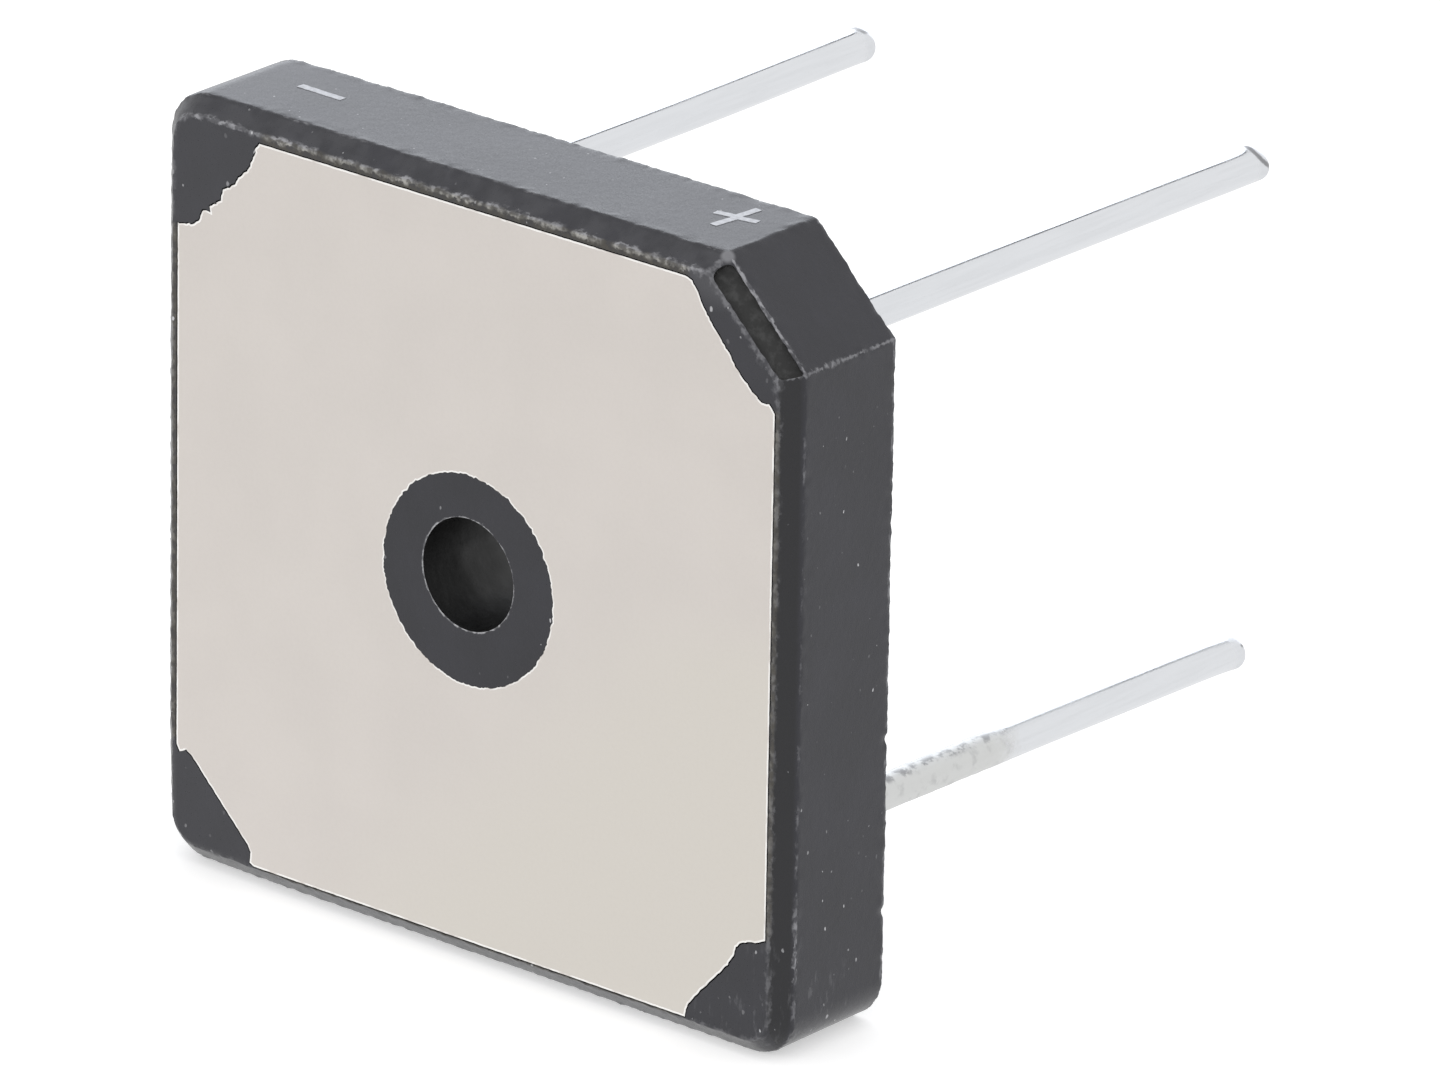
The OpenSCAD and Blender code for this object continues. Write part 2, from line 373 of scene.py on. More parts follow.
def new_group(name, inputs, outputs):
    """A shader node group with named sockets, its tree, and its inputs' and outputs' nodes."""
    group = bpy.data.node_groups.new(name, "ShaderNodeTree")
    for label, kind, default in inputs:
        socket = group.interface.new_socket(label, in_out="INPUT", socket_type=kind)
        if default is not None:
            socket.default_value = default
    for label, kind in outputs:
        group.interface.new_socket(label, in_out="OUTPUT", socket_type=kind)
    tree = Tree(group)
    return group, tree, tree.add("NodeGroupInput").outputs, tree.add("NodeGroupOutput").inputs


def place_group(tree, group, inputs):
    """A node group placed in a tree, and its outputs."""
    return tree.add("ShaderNodeGroup", inputs, node_tree=group).outputs


VALUE, VECTOR = "NodeSocketFloat", "NodeSocketVector"


def outline_group(case):
    """Distance inwards from the case's outline, as seen from the front."""
    group, tree, given, made = new_group(
        "case_outline",
        [("Point", VECTOR, None), ("Half side", VALUE, millimetres(case.side) / 2),
         ("Corner radius", VALUE, millimetres(case.corner)), ("Cut", VALUE, millimetres(case.cut))],
        [("Inset", VALUE)])
    x, _, z = tree.split(given["Point"])
    core = tree.minus(given["Half side"], given["Corner radius"])
    over_x, over_z = (tree.minus(tree.absolute(part), core) for part in (x, z))
    outer = tree.length(tree.pair(tree.most(over_x, 0.0), tree.most(over_z, 0.0)))
    inner = tree.math("MINIMUM", tree.most(over_x, over_z), 0.0)
    square = tree.minus(tree.plus(outer, inner), given["Corner radius"])
    reach = tree.minus(tree.times(given["Half side"], 2.0), given["Cut"])
    slant = tree.times(tree.minus(tree.plus(x, z), reach), math.sqrt(0.5))
    tree.put(made["Inset"], tree.times(tree.most(square, slant), -1.0))
    return group


def wear_and_highlight_line_group():
    """A broken, beady line along an edge, of wear and of painted highlight, from the distance to it and three
    uneven values.

    Cover is the share of the edge that the line covers."""
    group, tree, given, made = new_group(
        "wear_and_highlight_line",
        [("Beads", VALUE, 0.5), ("Patches", VALUE, 0.5), ("Tone", VALUE, 0.5),
         ("Distance", VALUE, 0.0), ("Width", VALUE, 0.1), ("Cover", VALUE, 0.5)],
        [("Mask", VALUE)])
    width = tree.times(given["Width"], tree.fade(given["Beads"], 0.33, 0.66, 0.35, 1.6))
    line = tree.fade(given["Distance"], tree.times(width, 0.25), width)
    gone = tree.minus(1.0, given["Cover"])
    kept = tree.rise(given["Patches"], tree.minus(gone, 0.12), tree.plus(gone, 0.10))
    tone = tree.fade(given["Tone"], 0.38, 0.62, 0.2, 1.0)
    tree.put(made["Mask"], tree.times(line, kept, tone))
    return group


def speck_group(dimensions):
    """Small scattered specks, such as dust, in space or on a plane.

    Share is the share of the cells that hold a speck, and Size its largest radius within a cell."""
    group, tree, given, made = new_group(
        "specks_" + dimensions,
        [("Point", VECTOR, None), ("Scale", VALUE, 2.0), ("Share", VALUE, 0.2), ("Size", VALUE, 0.12)],
        [("Mask", VALUE)])
    wobble = tree.add("ShaderNodeTexNoise", {"Vector": given["Point"], "Scale": 9.0, "Detail": 2.0})
    shift = tree.stretch(wobble.outputs["Color"], (0.09, 0.09, 0.09))
    inputs = {"Vector": tree.vector("ADD", given["Point"], shift), "Scale": given["Scale"]}
    cells = tree.add("ShaderNodeTexVoronoi", inputs, feature="F1", voronoi_dimensions=dimensions)
    share, size, tone = tree.split(cells.outputs["Color"])
    chosen = tree.math("LESS_THAN", share, given["Share"])
    reach = tree.times(given["Size"], tree.plus(size, 0.35))
    dot = tree.fade(cells.outputs["Distance"], tree.times(reach, 0.6), reach)
    light = tree.plus(tree.math("POWER", tone, 3.0), 0.10)
    tree.put(made["Mask"], tree.math("MULTIPLY", dot, tree.times(light, chosen), clamp=True))
    return group


def specks(tree, group, point, scale, share, size):
    """Specks of one kind, placed in a tree."""
    inputs = {"Point": point, "Scale": scale, "Share": share, "Size": size}
    return place_group(tree, group, inputs)["Mask"]


# Materials of the case


class CasePoint:
    """A point of the case in a shader tree: where it lies, and the uneven values of its wear."""

    def __init__(self, tree, settings):
        case = settings.case
        self.tree = tree
        self.bevel, self.depth = millimetres(case.bevel), millimetres(case.depth)
        self.half, self.cut = millimetres(case.side) / 2, millimetres(case.cut)
        self.place = tree.point()
        self.x, self.y, self.z = tree.split(self.place)
        self.inset = place_group(tree, outline_group(case), {"Point": self.place})["Inset"]
        self.radius = tree.length(tree.stretch(self.place, (1.0, 0.0, 1.0)))
        self.on_front = tree.fade(self.y, 0.02, 0.09)
        self.beside_plate = tree.times(self.on_front, beside_plate(tree, self.x, self.z))
        self.from_foot = self.distance((self.half, 0.0, -self.half))
        # The lit neck between the recess's upper end and the upper bevel, where a highlight is painted
        neck = (self.half - self.cut + 0.03, self.bevel - 0.02, self.half - 0.09)
        self.from_neck = self.distance(neck)
        streaky = tree.stretch(self.place, (0.55, 1.0, 0.55))
        self.uneven = {"Beads": tree.noise(streaky, 5.2, detail=3.0, roughness=0.65),
                       "Patches": tree.noise(self.place, 1.1, detail=4.0),
                       "Tone": tree.noise(streaky, 7.0, detail=2.0)}
        self.wear_and_highlight_line = wear_and_highlight_line_group()

    def distance(self, place):
        """Distance to a place."""
        return self.tree.length(self.tree.vector("SUBTRACT", self.place, place))

    def edge_round(self, inset, depth):
        """Distance to an edge that runs round the case at one inset and one depth."""
        return self.tree.length(self.tree.pair(self.tree.minus(self.inset, inset),
                                               self.tree.minus(self.y, depth)))

    def edge_back(self, x, z):
        """Distance to an edge that runs from the front to the back."""
        offset = self.tree.vector("SUBTRACT", self.place, (x, 0.0, z))
        return self.tree.length(self.tree.stretch(offset, (1.0, 0.0, 1.0)))

    def edge_through(self, start, end):
        """Distance to a straight edge through two places."""
        run = (Vector(end) - Vector(start)).normalized()
        offset = self.tree.vector("SUBTRACT", self.place, start)
        return self.tree.length(self.tree.vector("CROSS_PRODUCT", offset, tuple(run)))

    def worn(self, distance, width, cover, strength):
        """A line along an edge, drawn as wear, and at the neck as a painted highlight."""
        inputs = {"Distance": distance, "Width": width, "Cover": cover, **self.uneven}
        return self.tree.times(place_group(self.tree, self.wear_and_highlight_line, inputs)["Mask"], strength)


def front_leg(half, cut, bevel):
    """How far up, or out, the slanted corner starts on the front face's outline."""
    return half - bevel - cut + bevel * (2 - math.sqrt(2))


def beside_plate(tree, x, z):
    """Whether a point lies beside a straight side of the plate, and not at a corner."""
    low, high = PLATE_BOX[0] / MM, PLATE_BOX[1] / MM
    middle, reach = (low + high) / 2, (high - low) / 2
    across = tree.minus(tree.absolute(tree.minus(x, middle.x)), reach.x)
    up = tree.minus(tree.absolute(tree.minus(z, middle.z)), reach.z)
    return tree.fade(tree.math("MINIMUM", across, up), -4.0, -3.7)


def edge_wear_and_neck_highlight(at):
    """How far the case's edges are worn to a paler tone, with a highlight painted on the lit neck at the
    upper end of the cut corner.
    """
    tree, half, cut, bevel = at.tree, at.half, at.cut, at.bevel
    edge, front_edge = at.edge_round(0.0, bevel), at.edge_round(bevel, 0.0)
    back_edge, cut_edge = at.edge_round(0.0, at.depth), at.edge_back(half, half - cut)
    leg = front_leg(half, cut, bevel)
    lower_ridge = at.edge_through((half - bevel, 0, leg + CUT_LEAN), (half, bevel, half - cut))
    upper_ridge = at.edge_through((leg, 0, half - bevel), (half - cut, bevel, half))

    along_cut = tree.times(tree.absolute(tree.minus(at.z, at.x)), math.sqrt(0.5))
    on_cut = tree.times(tree.fade(along_cut, cut * 0.66, cut * 0.72), tree.over(tree.plus(at.x, at.z), half))
    on_right = tree.times(tree.over(at.x, half - 1), tree.rise(at.z, -13.2, -12.2))
    low_right = tree.times(tree.fade(tree.absolute(tree.plus(at.z, 10.7)), 1.0, 2.8), on_right)
    upper_rim = tree.fade(at.z, half - 1.5, half - 1, 0.35, 1.1)
    on_ridge = (at.y, bevel, bevel + 0.1)
    # Each line's distance, width, cover and strength
    lines = [
        (edge, 0.08, 0.42, 0.45),
        (edge, 0.07, 0.46, tree.times(on_right, 0.5)),
        (edge, 0.11, 0.58, low_right),
        (edge, 0.12, 0.66, on_cut),
        (front_edge, 0.16, 0.52, upper_rim),
        (front_edge, 0.12, 0.95, tree.times(low_right, 0.35)),
        (front_edge, 0.25, 1.0, tree.times(on_cut, 0.45)),
        (back_edge, 0.09, 0.46, 0.6),
        (cut_edge, 0.08, 0.62, 0.6),
        (cut_edge, 0.13, 0.70, tree.fade(at.y, 2.0, 3.2, 0.7, 0.0)),
        (lower_ridge, 0.16, 0.95, tree.fade(*on_ridge, 0.6, 0.0)),
        # Painted highlight along the lit neck, between the upper bevel and the slanted corner
        (upper_ridge, 0.16, 0.85, tree.fade(*on_ridge, 0.45, 0.0)),
    ]
    # The last mask is a painted highlight: a paler patch round the lit neck
    return tree.most(*(at.worn(*line) for line in lines), tree.fade(at.from_neck, 0.14, 0.34, 0.6, 0.0))


def dust_mask(at):
    """Fine dust on the walls, larger specks near the right foot, and some on the front face."""
    tree, in_space = at.tree, speck_group("3D")
    drawn_out = tree.stretch(at.place, (1.0, 1.0, 0.62))
    fine = specks(tree, in_space, drawn_out, scale=3.0, share=0.30, size=0.12)
    share = tree.times(tree.fade(at.from_foot, 2.0, 6.0, 0.8, 0.12), tree.fade(at.y, 0.7, 1.5, 1.0, 0.6))
    large = specks(tree, in_space, drawn_out, scale=1.5, share=share, size=0.09)
    off_cut = tree.fade(tree.plus(at.x, at.z), 23.0, 23.6)
    on_walls = tree.times(tree.most(fine, large), off_cut)
    level = tree.pair(at.x, tree.times(at.z, 0.7))
    share = tree.most(tree.fade(at.from_foot, 2.0, 6.0, 0.7, 0.0), tree.fade(at.radius, 4.0, 6.0, 0.06, 0.35))
    ahead = specks(tree, speck_group("2D"), level, scale=1.6, share=share, size=0.10)
    return tree.most(on_walls, tree.times(ahead, at.on_front))


def compound_layers(at, settings):
    """What lies over the bare compound, as masks and colours, from the lowest one up. Some layers are painted
    light: shade on the right bevel and a highlight at the neck.
    """
    tree, case, half, bevel = at.tree, settings.case, at.half, at.bevel
    wear_and_highlight_colour = opaque(case.wear_and_highlight_colour)
    # Painted shade: the right bevel is darkened to less than half of the compound's colour
    shaded_right_bevel = tree.times(tree.fade(at.y, bevel - 0.15, bevel - 0.02), tree.over(at.x, half - bevel))
    upper_bevel = tree.times(tree.fade(at.y, bevel - 0.12, bevel), tree.rise(at.z, half - 0.8, half - 0.6))
    rubbed = tree.fade(at.uneven["Patches"], 0.35, 0.65, 0.015, 0.075)
    # The front face is made slightly paler, more to the left, and a faint painted highlight spreads round the
    # lit neck
    front_paling_and_neck_highlight = tree.times(tree.fade(at.x, -5.0, 5.0, 0.045, 0.018), tree.rise(at.radius, 5.0, 6.0))
    front_paling_and_neck_highlight = tree.most(front_paling_and_neck_highlight, tree.fade(at.from_neck, 1.2, 2.2, 0.14, 0.0))
    in_rim = tree.times(at.beside_plate, tree.fade(at.inset, bevel + 0.4, bevel + 0.5))
    dull = tree.fade(at.uneven["Beads"], 0.36, 0.62, 0.35, 1.0)
    past_edge = tree.times(at.beside_plate, tree.rise(at.inset, bevel - 0.05, bevel + 0.05))
    wear_and_highlight_tint = tree.mix(past_edge, wear_and_highlight_colour, opaque(case.worn_rim_colour))
    streaks = tree.noise(tree.stretch(at.place, (1.0, 1.0, 0.3)), 3.4, detail=4.0, roughness=0.6)
    scuffed = tree.times(tree.rise(streaks, 0.56, 0.72, 0.22), tree.fade(at.from_foot, 2.5, 5.5))
    mouth = tree.pair(tree.minus(at.radius, millimetres(settings.plate.hole)), at.y)
    lip = at.worn(tree.length(mouth), width=0.06, cover=1.0, strength=0.75)
    return [
        (shaded_right_bevel, shade(case.colour, 0.45)),
        (tree.times(upper_bevel, rubbed), wear_and_highlight_colour),
        (tree.times(at.on_front, front_paling_and_neck_highlight), wear_and_highlight_colour),
        (tree.times(in_rim, dull), opaque(case.rim_colour)),
        # Worn edges, and the painted highlight at the neck
        (edge_wear_and_neck_highlight(at), wear_and_highlight_tint),
        (scuffed, wear_and_highlight_colour),
        (tree.most(lip, dust_mask(at)), opaque(case.dust_colour)),
    ]


def compound_material(settings):
    """Matt black moulding compound, with worn edges, a rough rim and dust, and painted light: shade on the
    right bevel and a highlight at the neck of the cut corner.
    """
    bare = settings.case.colour
    material, tree, shader = new_material("moulding_compound")
    at = CasePoint(tree, settings)
    cloud = tree.noise(at.place, 0.45, detail=5.0, roughness=0.55)
    grain = tree.noise(at.place, 14.0, detail=3.0, roughness=0.6)
    colour = tree.mix(tree.rise(cloud, 0.35, 0.7), opaque(bare), shade(bare, 1.3))
    for mask, layer in compound_layers(at, settings):
        colour = tree.mix(mask, colour, layer)
    tree.put(shader.inputs["Base Color"], colour)
    tree.put(shader.inputs["Roughness"], tree.fade(grain, 0.3, 0.7, 0.27, 0.37))
    shader.inputs["IOR"].default_value = 1.52
    height = tree.plus(tree.times(grain, 0.5), tree.noise(at.place, 3.2, detail=4.0))
    tree.bump(shader, height, depth=0.008)
    return material


def shaded_recess_material(settings):
    """The compound inside the screw hole and the corner's recess, which is unworn. Its greys are painted
    shade, with a painted patch of light deep in the hole.
    """
    material, tree, shader = new_material("shaded_compound_in_recess")
    point = tree.point()
    x, y, z = tree.split(point)
    # Plain greys: near black as painted shade in the hole, a paler grey painted as light deep in the hole,
    # and two greys for the recess's shaded floor
    dark, hole_light_colour, pale, palest = (opaque((grey, grey, grey)) for grey in (0.004, 0.052, 0.028, 0.062))
    lumps = tree.rise(tree.noise(point, 3.2, detail=3.0), 0.45, 0.7)
    # Painted light: a patch deep in the hole, where light comes in through the back opening
    hole_light_patch = tree.times(tree.rise(y, 1.7, 2.3), tree.rise(z, -1.95, -1.6), tree.fade(z, -0.4, 0.1))
    in_hole = tree.math("LESS_THAN", tree.plus(x, z), millimetres(settings.case.side) / 2)
    colour = tree.mix(in_hole, tree.mix(lumps, pale, palest), tree.mix(hole_light_patch, dark, hole_light_colour))
    tree.put(shader.inputs["Base Color"], colour)
    cloud = tree.noise(point, 1.6, detail=4.0)
    tree.put(shader.inputs["Roughness"], tree.fade(cloud, 0.3, 0.7, 0.44, 0.56))
    shader.inputs["IOR"].default_value = 1.43
    tree.bump(shader, cloud, depth=0.02)
    return material


def ink_material(settings):
    """Pale ink, thin in places."""
    ink = settings.marks.colour
    material, tree, shader = new_material("pale_ink")
    covering = tree.rise(tree.noise(tree.point(), 6.0, detail=4.0), 0.35, 0.65)
    tree.put(shader.inputs["Base Color"], tree.mix(covering, shade(ink, 0.82), opaque(ink)))
    shader.inputs["Roughness"].default_value = 0.5
    return material


# Materials of the plate


def nickel_material(settings):
    """Satin nickel plating, with faint clouds and a slightly yellower cast at the lower right."""
    nickel = settings.plate.colour
    material, tree, shader = new_material("satin_nickel")
    point = tree.point()
    x, _, z = tree.split(point)
    cloud = tree.noise(point, 0.25, detail=4.0)
    colour = tree.mix(tree.rise(cloud, 0.3, 0.7), opaque(nickel), shade(nickel, 0.97))
    yellowed = [part * share for part, share in zip(nickel, (0.99, 1.0, 0.975))]
    cast = tree.times(tree.rise(tree.minus(x, z), 4.0, 13.0), tree.fade(z, -1.0, 3.0))
    tree.put(shader.inputs["Base Color"], tree.mix(cast, colour, opaque(yellowed)))
    shader.inputs["Metallic"].default_value = 1.0
    grain = tree.noise(point, 7.0, detail=4.0, roughness=0.65)
    tree.put(shader.inputs["Roughness"], tree.fade(grain, 0.3, 0.7, 0.36, 0.46))
    tree.bump(shader, grain, depth=0.003)
    return material


def edge_highlight_material(settings):
    """A highlight painted along the plate's cut edge, brighter than its face."""
    material, tree, shader = new_material("painted_edge_highlight")
    bright = tree.fade(tree.noise(tree.point(), 1.3, detail=3.0), 0.3, 0.55)
    colour = tree.mix(bright, opaque(settings.plate.edge_highlight_colour), opaque(settings.plate.colour))
    tree.put(shader.inputs["Base Color"], colour)
    shader.inputs["Metallic"].default_value = 1.0
    shader.inputs["Roughness"].default_value = 0.4
    return material


def seam_shade_material(settings):
    """The plate's sides, painted dark as the shade in the seam between the plate and the compound."""
    compound = settings.case.colour
    material, tree, shader = new_material("painted_shade_in_seam")
    uneven = tree.rise(tree.noise(tree.point(), 2.0, detail=3.0), 0.3, 0.7)
    tree.put(shader.inputs["Base Color"], tree.mix(uneven, shade(compound, 0.5), shade(compound, 1.5)))
    shader.inputs["Roughness"].default_value = 0.9
    shader.inputs["IOR"].default_value = 1.2
    return material


# Materials of the leads and of the pieces inside


def burr_mask(tree, burr, shoulder, facing, to_tip, patch):
    """The dark, ragged burr that the shears left at a lead's tip."""
    cover = tree.times(tree.rise(shoulder, burr.start, burr.start + 0.2, burr.strength),
                       tree.fade(shoulder, burr.end - 0.2, burr.end))
    line = tree.plus(tree.times(facing, 0.65), tree.times(shoulder, burr.tilt))
    off_line = tree.absolute(tree.minus(tree.minus(to_tip, burr.place), line))
    return tree.times(cover, tree.fade(tree.plus(off_line, tree.times(patch, 0.25)), 0.19, 0.29))


def tin_material(settings, name):
    """Tinned wire with drawing marks and a worn tip. The right AC lead has dull residue near the case."""
    leads, radius = settings.leads, millimetres(settings.leads.radius)
    material, tree, shader = new_material("tinned_wire_" + name)
    point = tree.point()
    turn = lead_frame(name).inverted()
    across, up, along = (tree.plus(tree.vector("DOT_PRODUCT", point, turn[i][:3]), turn[i][3])
                         for i in range(3))
    shoulder, facing = (tree.plus(tree.times(across, side.x / radius), tree.times(up, side.y / radius))
                        for side in (SHOULDER, FACING))
    to_tip = tree.minus(lead_tip(name), along)
    drawn = tree.noise(tree.stretch(point, (1.0, 0.06, 1.0)), 5.0, detail=3.0)
    patch = tree.noise(point, 2.1, detail=5.0, roughness=0.7)
    colour = tree.mix(tree.rise(drawn, 0.35, 0.7), opaque(leads.colour), shade(leads.colour, 0.965))
    matt = tree.fade(to_tip, 0.5, 1.0)
    height = tree.times(drawn, 0.3)
    smudge_colour = opaque(leads.smudge_colour)
    if name == "ac_right":
        stain = tree.fade(tree.plus(along, tree.times(patch, 3.0)), *STAIN_END)
        colour = tree.mix(tree.times(stain, 0.9), colour, opaque(leads.stain_colour))
        upper_side = tree.fade(tree.absolute(tree.minus(shoulder, 0.60)), 0.08, 0.42)
        smudge = tree.times(upper_side, tree.rise(patch, 0.43, 0.57, 0.8))
        spots = tree.rise(tree.noise(point, 2.2, detail=4.0), 0.50, 0.72, 0.28)
        colour = tree.mix(tree.times(tree.most(smudge, spots), stain), colour, smudge_colour)
        matt = tree.most(matt, stain, 0.2)
        height = tree.plus(height, tree.times(stain, patch))
    burr = burr_mask(tree, WIRES[name].burr, shoulder, facing, to_tip, patch)
    tree.put(shader.inputs["Base Color"], tree.mix(burr, colour, smudge_colour))
    shader.inputs["Metallic"].default_value = 1.0
    smooth = tree.fade(drawn, 0.3, 0.7, 0.10, 0.16)
    tree.put(shader.inputs["Roughness"], tree.plus(smooth, tree.times(matt, 0.28)))
    tree.bump(shader, height, depth=0.01, strength=0.6)
    return material


def plain_material(name, colour, metallic, roughness, scale):
    """A slightly uneven finish for a piece inside the case."""
    material, tree, shader = new_material(name)
    uneven = tree.rise(tree.noise(tree.point(), scale, detail=4.0), 0.3, 0.7)
    tree.put(shader.inputs["Base Color"], tree.mix(uneven, opaque(colour), shade(colour, 0.8)))
    shader.inputs["Metallic"].default_value = metallic
    shader.inputs["Roughness"].default_value = roughness
    return material


# Mesh helpers, in millimetres

# Points that are closer together than this are one point
SAME_POINT = 1e-5


def spaced(path, step):
    """The same path, with points added so that none are further apart than step."""
    made = [path[0]]
    for start, end in zip(path, path[1:]):
        count = max(1, math.ceil((end - start).length / step))
        made += [start.lerp(end, i / count) for i in range(1, count + 1)]
    return made


def rounded(points, radii, steps=4):
    """A path with an arc at each inner point."""
    path = [points[0]]
    for before, corner, after, radius in zip(points, points[1:], points[2:], radii):
        back = (before - corner).normalized()
        ahead = (after - corner).normalized()
        half_angle = back.angle(ahead) / 2
        centre = corner + (back + ahead).normalized() * radius / math.sin(half_angle)
        reach = radius / math.tan(half_angle)
        first, last = corner + back * reach - centre, corner + ahead * reach - centre
        path += [centre + first.lerp(last, i / steps).normalized() * radius for i in range(steps + 1)]
    path.append(points[-1])
    return path


def lathe(profile, steps):
    """The closed solid that a profile of radii and heights makes when it is turned about Z."""
    bm = bmesh.new()
    verts = [bm.verts.new((radius, 0, height)) for radius, height in profile]
    edges = [bm.edges.new(ends) for ends in zip(verts, verts[1:])]
    bmesh.ops.spin(bm, geom=verts + edges, cent=(0, 0, 0), axis=(0, 0, 1), angle=math.tau,
                   steps=steps, use_merge=True)
    bmesh.ops.remove_doubles(bm, verts=bm.verts, dist=SAME_POINT)
    bmesh.ops.recalc_face_normals(bm, faces=bm.faces)
    return bm


def thicken(bm, direction):
    """Makes a flat face a closed slab that reaches from it along a direction. Gives the new points."""
    made = bmesh.ops.extrude_face_region(bm, geom=list(bm.faces), use_keep_orig=True)["geom"]
    verts = [item for item in made if isinstance(item, bmesh.types.BMVert)]
    bmesh.ops.translate(bm, vec=direction, verts=verts)
    bmesh.ops.recalc_face_normals(bm, faces=bm.faces)
    return verts


def draw_out(bm, face, ring, depth):
    """Draws a new face out of a face, to a ring of points at a depth, with a wall between them."""
    place = bm.verts.layers.int["place"]
    made = bmesh.ops.extrude_face_region(bm, geom=[face])["geom"]
    drawn = next(item for item in made if isinstance(item, bmesh.types.BMFace))
    for vert in drawn.verts:
        x, z = ring[vert[place]]
        vert.co = (x, depth, z)
    return drawn


def divide(bm, step):
    """Divides long edges so that no part is longer than step."""
    for edge in list(bm.edges):
        cuts = math.ceil(edge.calc_length() / step) - 1
        if cuts > 0:
            bmesh.ops.subdivide_edges(bm, edges=[edge], cuts=cuts)


def set_shading(bm, angle=32.0):
    """Smooth shading, with sharp edges where faces meet at more than the angle."""
    for face in bm.faces:
        face.smooth = True
    for edge in bm.edges:
        edge.smooth = edge.calc_face_angle(math.pi) < math.radians(angle)


def mesh_from(name, bm):
    """A mesh that holds what bm holds, which is freed."""
    mesh = bpy.data.meshes.new(name)
    bm.to_mesh(mesh)
    bm.free()
    return mesh


def shown(name, mesh):
    """A new object in the scene."""
    item = bpy.data.objects.new(name, mesh)
    bpy.context.scene.collection.objects.link(item)
    return item


def loose_object(name, bm):
    """An object in millimetres with two material slots, to cut with or to cut from."""
    mesh = mesh_from(name, bm)
    for _ in range(2):
        mesh.materials.append(None)
    return shown(name, mesh)


def cut_out(bm, cutters):
    """The mesh that is left of bm once the cutters are taken out of it."""
    block = loose_object("block", bm)
    tools = [loose_object("cutter", cutter) for cutter in cutters]
    for tool in tools:
        modifier = block.modifiers.new("cut", "BOOLEAN")
        modifier.operation = "DIFFERENCE"
        modifier.solver = "EXACT"
        modifier.object = tool
    graph = bpy.context.evaluated_depsgraph_get()
    mesh = bpy.data.meshes.new_from_object(block.evaluated_get(graph))
    left = bmesh.new()
    left.from_mesh(mesh)
    bmesh.ops.remove_doubles(left, verts=left.verts, dist=SAME_POINT)
    for item in (block, *tools):
        bpy.data.meshes.remove(item.data)
    bpy.data.meshes.remove(mesh)
    return left


def finish_piece(name, bm, materials, nodes=()):
    """Brings a mesh to metres and makes it a piece of the part."""
    bmesh.ops.scale(bm, vec=(MM, MM, MM), verts=bm.verts)
    mesh = mesh_from(name, bm)
    for material in materials:
        mesh.materials.append(material)
    piece = shown(name, mesh)
    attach(piece, "root")
    if nodes:
        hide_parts(*nodes)


# The moulded case

# How much higher the cut corner's lower bend lies on the front face than a mitre would put it
CUT_LEAN = 0.12
# The rubbed left corners, above and below, with the depth of the wear and its reach
RUBBED = ((1, 0.05, 2.5), (-1, 0.085, 3.5))
# How far from an edge its roughness and its flash reach
EDGE_REACH = 0.35
# Heights of the nicks in the back edge of the right wall, and a nick's depth and radius
NICKS = (-10.1, -3.75)
NICK_DEPTH, NICK_RADIUS = 0.09, 0.14
# How far the flash at the back edge stands proud, on the right wall and elsewhere
FLASH_RIGHT, FLASH = 0.085, 0.045


def outline_inset(point, half, corner, cut):
    """Distance inwards from the case's outline, as the shader group works it out."""
    over = Vector((abs(point.x) - half + corner, abs(point.z) - half + corner))
    outer = Vector((max(over.x, 0), max(over.y, 0))).length
    square = outer + min(max(over), 0) - corner
    slant = (point.x + point.z - 2 * half + cut) * math.sqrt(0.5)
    return -max(square, slant)


def case_bends(case, inset):
    """The bends of the case's outline, moved inwards by inset. They run round from the right wall."""
    half, corner, cut = (millimetres(size) for size in (case.side / 2, case.corner, case.cut))
    reach = half - inset
    leg = cut - inset * (2 - math.sqrt(2))
    lean = CUT_LEAN * inset / millimetres(case.bevel)
    slant = [Vector((reach, reach - 2 * leg)), Vector((reach, reach - leg + lean)),
             Vector((reach - leg, reach)), Vector((reach - 2 * leg, reach))]
    bends = rounded(slant, [millimetres(case.cut_radius)] * 2)[1:-1]
    core, radius, steps = half - corner, corner - inset, 20
    for quarter, (right, up) in enumerate(((-1, 1), (-1, -1), (1, -1)), start=1):
        for i in range(steps + 1):
            angle = math.radians(90 * (quarter + i / steps))
            bends.append(Vector((right * core, up * core)) +
                         Vector((math.cos(angle), math.sin(angle))) * radius)
    return bends


def case_ring(case, inset):
    """The same outline with points along its straight parts, as many for every inset."""
    outer, inner = case_bends(case, 0), case_bends(case, inset)
    ring = []
    for i, start in enumerate(outer):
        after = (i + 1) % len(outer)
        count = math.ceil((outer[after] - start).length / millimetres(case.step))
        ring += [inner[i].lerp(inner[after], j / count) for j in range(count)]
    return ring


